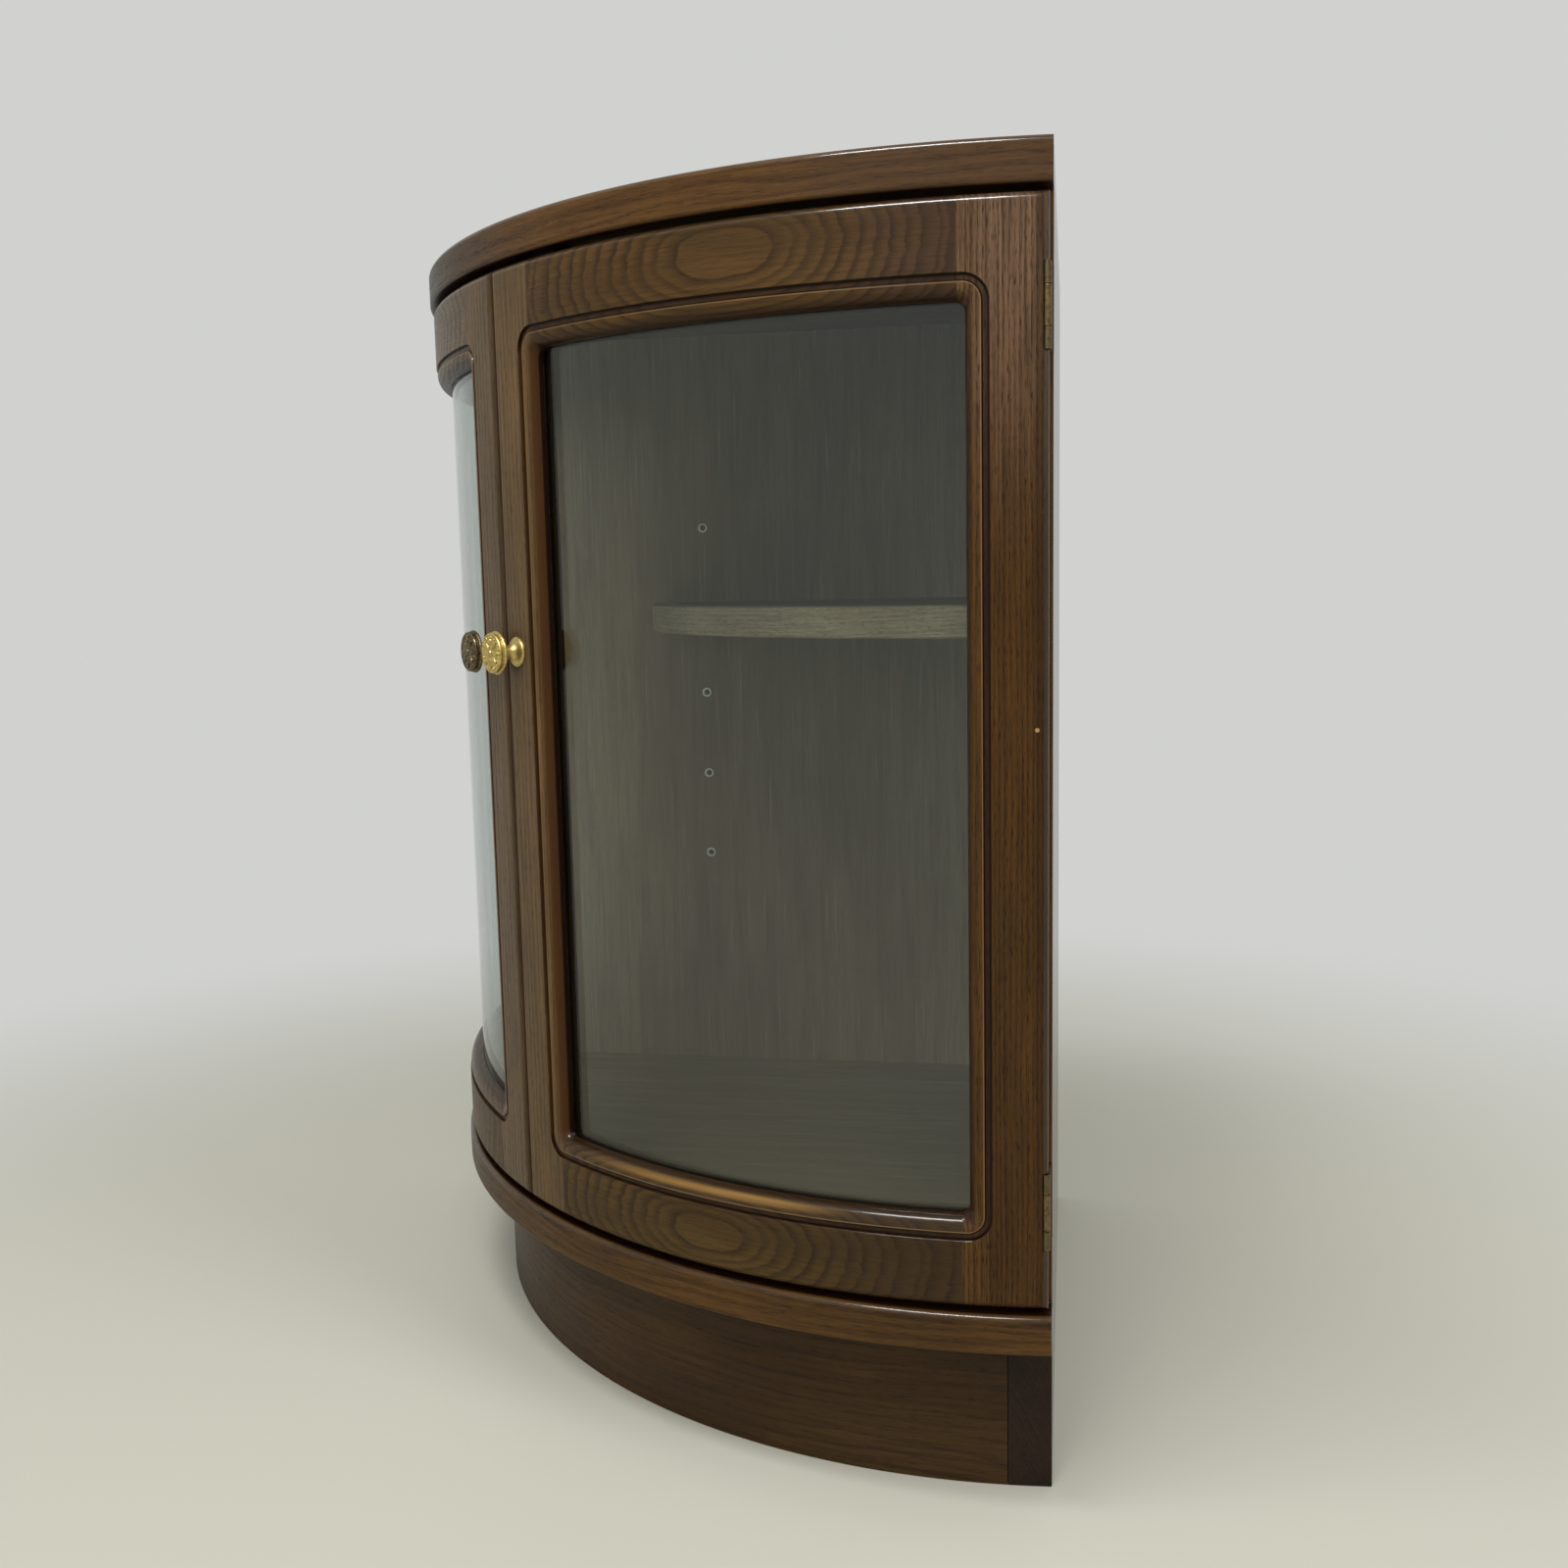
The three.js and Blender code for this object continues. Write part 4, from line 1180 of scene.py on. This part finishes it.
# For each wood its material's name, its grain, what is its own in that grain, and its stain
woods = {
    "stile": ("stile_oak", straightGrain, {
        "quirk": True, "wear": ((0.518, 0.432, 1.6 * mm),), "drifts": (
            # Lighter and greyer towards the top: painted light
            ("along", 0.6, 0.84, tint(122, 96, 76), 0.8),
            ("across", nearJoint + 20 * mm, nearJoint + 6 * mm, tint(100, 72, 34), 0.4),
            # Darker on the hinge-side rounding: painted shade
            ("across", door["hingeEdge"] - 12 * mm, door["hingeEdge"] - 6 * mm, tint(50, 30, 8), 0.6)),
    }, stain(66, 43, 15)),
    # Lighter, greyer stain than the hinge stile, partly painted sheen; greyer still on the left door,
    # painted sheen
    "meetingStile": ("meeting_stile_oak", straightGrain, {
        "quirk": True, "bandShare": 0.3, "poreShare": 0.5, "ringWidth": 6 * mm,
        "drifts": (("left", 0, 2 * mm, tint(100, 88, 70), 0.4),)}, stain(92, 72, 46)),
    "topRail": ("top_rail_oak", railGrain, {
        "heart": (0.2345, 0.815), "tighten": 4,
        "drifts": (("along", 0.29, 0.38, tint(68, 49, 36), 0.8),)}, stain(73, 53, 27)),
    "bottomRail": ("bottom_rail_oak", railGrain, {
        "heart": (0.2016, 0.166), "first": 13 * mm, "ringWidth": 5.4 * mm, "tighten": 0.6,
        # Where along the bottom bead its painted highlight rises, is full and is gone
        "beadHighlight": (0.06, 0.18, 0.24, 0.32),
        "drifts": (("along", 0.2, 0.38, tint(53, 38, 20), 0.8),)}, stain(70, 52, 26)),
    # Greyer stain than the right door's top rail: painted sheen
    "leftTopRail": ("left_top_rail_oak", railGrain, {
        "heart": (-0.185, 0.808), "first": 11 * mm}, stain(90, 76, 56)),
    "leftBottomRail": ("left_bottom_rail_oak", railGrain, {
        "heart": (-0.245, 0.171), "first": 19 * mm, "ringWidth": 5.8 * mm}, stain(73, 53, 25)),
    "topLipping": ("top_lipping_oak", lippingGrain, {
        # Painted shade on its underside in the gap over the doors
        "paintedGapShade": (topLow + 0.5 * mm, topLow + 0.1 * mm, 0.5 * mm),
        "rounded": cadHigh.z - boards["topRounding"], "drifts": (
            # Greyer towards the left: painted sheen
            ("left", -0.12, 0.16, tint(52, 46, 37), 0.85),
            ("left", -0.24, -0.36, tint(72, 54, 38), 0.7))}, stain(84, 58, 28)),
    "bottomLipping": ("bottom_lipping_oak", lippingGrain, {
        # Painted shade on its top in the gap under the doors
        "paintedGapShade": (bottomHigh - 0.4 * mm, bottomHigh - 0.1 * mm, 1 * mm),
        "rounded": bottomHigh - boards["bottomRounding"]}, stain(74, 51, 23)),
    "topBoard": ("top_board_oak", straightGrain, {
        "way": "alongX", "ringWidth": 9 * mm, "warp": 30 * mm, "poreShare": 0.5}, {}),
    "veneer": ("veneer_oak", veneerGrain, {"way": "upX"}, veneerLook),
    "veneerSide": ("side_veneer_oak", veneerGrain, {"way": "upY"}, veneerLook),
    "veneerBoard": ("board_veneer_oak", veneerGrain, {
        "way": "alongX", "drifts": (("across", 0.4, 0, tint(92, 80, 62), 0.8),)}, veneerLook),
    # Near-black glazing beads, far darker than the door's oak
    "glazingBead": ("glazing_bead_oak", straightGrain, {"poreShare": 0.3}, stain(32, 22, 12)),
    "nosing": ("nosing_oak", straightGrain, {"way": "round", "bandShare": 0.3, "poreShare": 0.6}, {
        "light": tint(156, 143, 118), "middle": tint(138, 124, 100), "dark": tint(104, 90, 70),
        "pore": tint(66, 54, 42), "coatWeight": 0.06}),
    "plinth": ("plinth_oak", lippingGrain, {"poreShare": 0.4, "bandShare": 0.16}, stain(57, 40, 20)),
    "rail": ("plinth_rail_oak", straightGrain, {
        "way": "alongY", "bandShare": 0.25, "poreShare": 0.3}, stain(37, 27, 19)),
    "railSide": ("plinth_side_rail_oak", straightGrain, {
        "way": "alongX", "bandShare": 0.25, "poreShare": 0.3}, stain(37, 27, 19)),
    "panelEdge": ("panel_edge_oak", straightGrain, {"poreShare": 0.5}, {}),
    "block": ("block_wood", straightGrain, {
        "bandShare": 0.3, "poreShare": 0.15, "ringWidth": 5 * mm}, {
        **stain(138, 106, 70), "coatWeight": 0.0, "roughness": 0.65}),
}

# For each metal its material's name, its colour, its tarnish, its roughness and how tarnished it is
metals = {
    "brightBrass": ("bright_brass", tint(204, 182, 112), tint(140, 118, 60), 0.26, 0.6),
    # A darker copy of the knob brass for the left knob: painted shade
    "shadedBrass": ("aged_brass", tint(116, 102, 76), tint(64, 54, 40), 0.3, 0.9),
    "hingeBrass": ("hinge_brass", tint(122, 103, 70), tint(84, 69, 45), 0.3, 0.8),
    "dullBrass": ("dull_brass", tint(106, 92, 66), tint(78, 65, 44), 0.34, 0.8),
    "steel": ("fitting_steel", tint(196, 196, 192), tint(140, 140, 136), 0.24, 0.4),
    "nickel": ("sleeve_nickel", tint(250, 246, 232), tint(222, 216, 200), 0.4, 0.3),
}


def makeMetal(name, colour, tarnish, roughness, share):
    finish = Finish(name)
    place = finish.place()
    cloud, speck = finish.noise(place, 3, 420), finish.noise(place, 2, 1400)
    finish.show(finish.principled({
        "Base Color": finish.mix(cloud.ramp(0.4, 0.65) * share, colour, tarnish), "Metallic": 1.0,
        "Roughness": speck * 0.14 + cloud * 0.1 + roughness,
        "Normal": finish.bump(speck, 0.02 * mm, 0.3)}))
    return finish.material


# Clear glass: what lies behind it shows, more of the room mirrors towards grazing angles
def makeGlass():
    finish = Finish("bent_glass")
    facing = finish.add("ShaderNodeLayerWeight", None, {"Blend": 0.5}, output=1)
    mirror = finish.principled({
        "Base Color": tint(232, 238, 236), "Metallic": 1.0, "Roughness": 0.015})
    clear = finish.add("ShaderNodeBsdfTransparent", None, {"Color": tint(245, 248, 246)})
    finish.show(finish.add("ShaderNodeMixShader", None, {
        0: facing ** 5 * 0.95 + 0.042, 1: clear, 2: mirror}))
    return finish.material


def makePlastic():
    finish = Finish("catch_plastic")
    speck = finish.noise(finish.place(), 2, 1800)
    finish.show(finish.principled({
        "Base Color": finish.mix(speck, tint(44, 34, 28), tint(52, 42, 35)),
        "Roughness": speck * 0.2 + 0.4, "Normal": finish.bump(speck, 0.03 * mm, 0.4)}))
    return finish.material


materials = {}
for finishName, (name, grain, own, changes) in woods.items():
    materials[finishName] = makeOak(name, {**grain, **own}, changes)
for finishName, settings in metals.items():
    materials[finishName] = makeMetal(*settings)
materials["glass"] = makeGlass()
materials["plastic"] = makePlastic()
print("finishes mixed:", len(materials))

makeDoors()
makeGlazing()
makeBoards()
makePlinth()
makeShelf()
makeKnobs()
makeHinges()
makeCatches()
makeStrikes()
makeKnobScrews()
makeSleeves()
makeShelfPins()
makePanelLippings()
dressPlainNodes()

# Camera: the photograph's own viewing angle
camera = {
    "place": (0.2864, -1.2636, 0.6161),
    "yaw": -0.1784, "pitch": -0.1365, "roll": -0.0213,
    "lens": 36.748, "sensor": 36, "shiftY": 0.0066,
}


def makeCamera():
    yaw, pitch, roll = camera["yaw"], camera["pitch"], camera["roll"]
    ahead = Vector((
        math.sin(yaw) * math.cos(pitch), math.cos(yaw) * math.cos(pitch), math.sin(pitch)))
    level = Vector((math.cos(yaw), -math.sin(yaw), 0))
    above = level.cross(ahead)
    right = level * math.cos(roll) + above * math.sin(roll)
    up = -level * math.sin(roll) + above * math.cos(roll)
    data = bpy.data.cameras.new("camera")
    data.lens = camera["lens"]
    data.sensor_width = camera["sensor"]
    data.shift_y = camera["shiftY"]
    made = bpy.data.objects.new("camera", data)
    bpy.context.scene.collection.objects.link(made)
    made.matrix_world = Matrix((
        (right.x, up.x, -ahead.x, camera["place"][0]),
        (right.y, up.y, -ahead.y, camera["place"][1]),
        (right.z, up.z, -ahead.z, camera["place"][2]),
        (0, 0, 0, 1)))
    bpy.context.scene.camera = made


# A pale floor that fades into the same pale backdrop all round
studio = {
    "floorRadius": 9,
    "floorSides": 96,
    "floorDrop": 0.2 * mm,
    "floor": tint(203, 201, 187),
    "backdrop": tint(209, 210, 207),
    "fill": 0.62,
    "fadeFrom": 0.5,
    "fadeTo": 1.6,
}


def seenDirectly(finish):
    rays = [finish.add("ShaderNodeLightPath", output=kind) for kind in (
        "Is Camera Ray", "Is Glossy Ray", "Is Transmission Ray")]
    return (rays[0] + rays[1] + rays[2]).clamped()


def makeStudio():
    floor = addPrimitive(
        bpy.ops.mesh.primitive_circle_add, "floor", (0, 0, -studio["floorDrop"]),
        vertices=studio["floorSides"], radius=studio["floorRadius"], fill_type="NGON")
    finish = Finish("floor_paint")
    x, y, z = finish.parts(finish.place())
    far = distance(x, y).ramp(studio["fadeFrom"], studio["fadeTo"])
    paint = finish.principled({
        "Base Color": studio["floor"], "Roughness": 0.55, "Specular IOR Level": 0.3})
    plain = finish.add("ShaderNodeEmission", None, {"Color": studio["backdrop"]})
    finish.show(finish.add("ShaderNodeMixShader", None, {
        0: far * seenDirectly(finish), 1: paint, 2: plain}))
    floor.data.materials.append(finish.material)

    sky = Finish("studio", bpy.data.worlds.new("studio"))
    bpy.context.scene.world = sky.material
    shown = {"Color": studio["backdrop"]}
    mixed = sky.add("ShaderNodeMixShader", None, {
        0: seenDirectly(sky),
        1: sky.add("ShaderNodeBackground", None, {**shown, "Strength": studio["fill"]}),
        2: sky.add("ShaderNodeBackground", None, shown)})
    sky.add("ShaderNodeOutputWorld", None, {"Surface": mixed})
    print("studio built")


lamps = {
    "front": {"place": (0.2, -2.5, 2.7), "target": (0, 0, 0.45), "size": (1.8, 1.2), "power": 36,
              "rays": "diffuse"},
    "window": {"place": (-0.7, -2.4, 1.1), "target": (0, 0, 0.55), "size": (1.3, 1.1), "power": 12,
               "rays": "diffuse"},
    "side": {"place": (2.5, -1.5, 2.2), "target": (0.9, -0.3, 0), "size": (1.2, 1.2), "power": 36,
             "rays": "diffuse"},
    "ceiling": {"place": (-0.35, -0.62, 2.4), "target": (-0.1, -0.2, 0.5), "size": (0.8, 0.3),
                "power": 15, "rays": "diffuse"},
    "gleam": {"place": (-0.135, -1.385, 2.22), "target": (0.185, -0.27, 0.84), "size": (0.95, 0.3),
              "power": 56, "rays": "glossy"},  # lights only the gloss of lacquer and brass
}


def makeLamps():
    for name, lamp in lamps.items():
        data = bpy.data.lights.new(name, "AREA")
        data.shape = "RECTANGLE"
        data.size, data.size_y = lamp["size"]
        data.energy = lamp["power"]
        made = bpy.data.objects.new(name, data)
        bpy.context.scene.collection.objects.link(made)
        made.visible_glossy = lamp["rays"] == "glossy"
        made.visible_diffuse = lamp["rays"] == "diffuse"
        made.location = lamp["place"]
        toward = Vector(lamp["target"]) - Vector(lamp["place"])
        made.rotation_euler = toward.to_track_quat("-Z", "Y").to_euler()


makeCamera()
makeStudio()
makeLamps()
bpy.context.scene.view_settings.view_transform = "Standard"
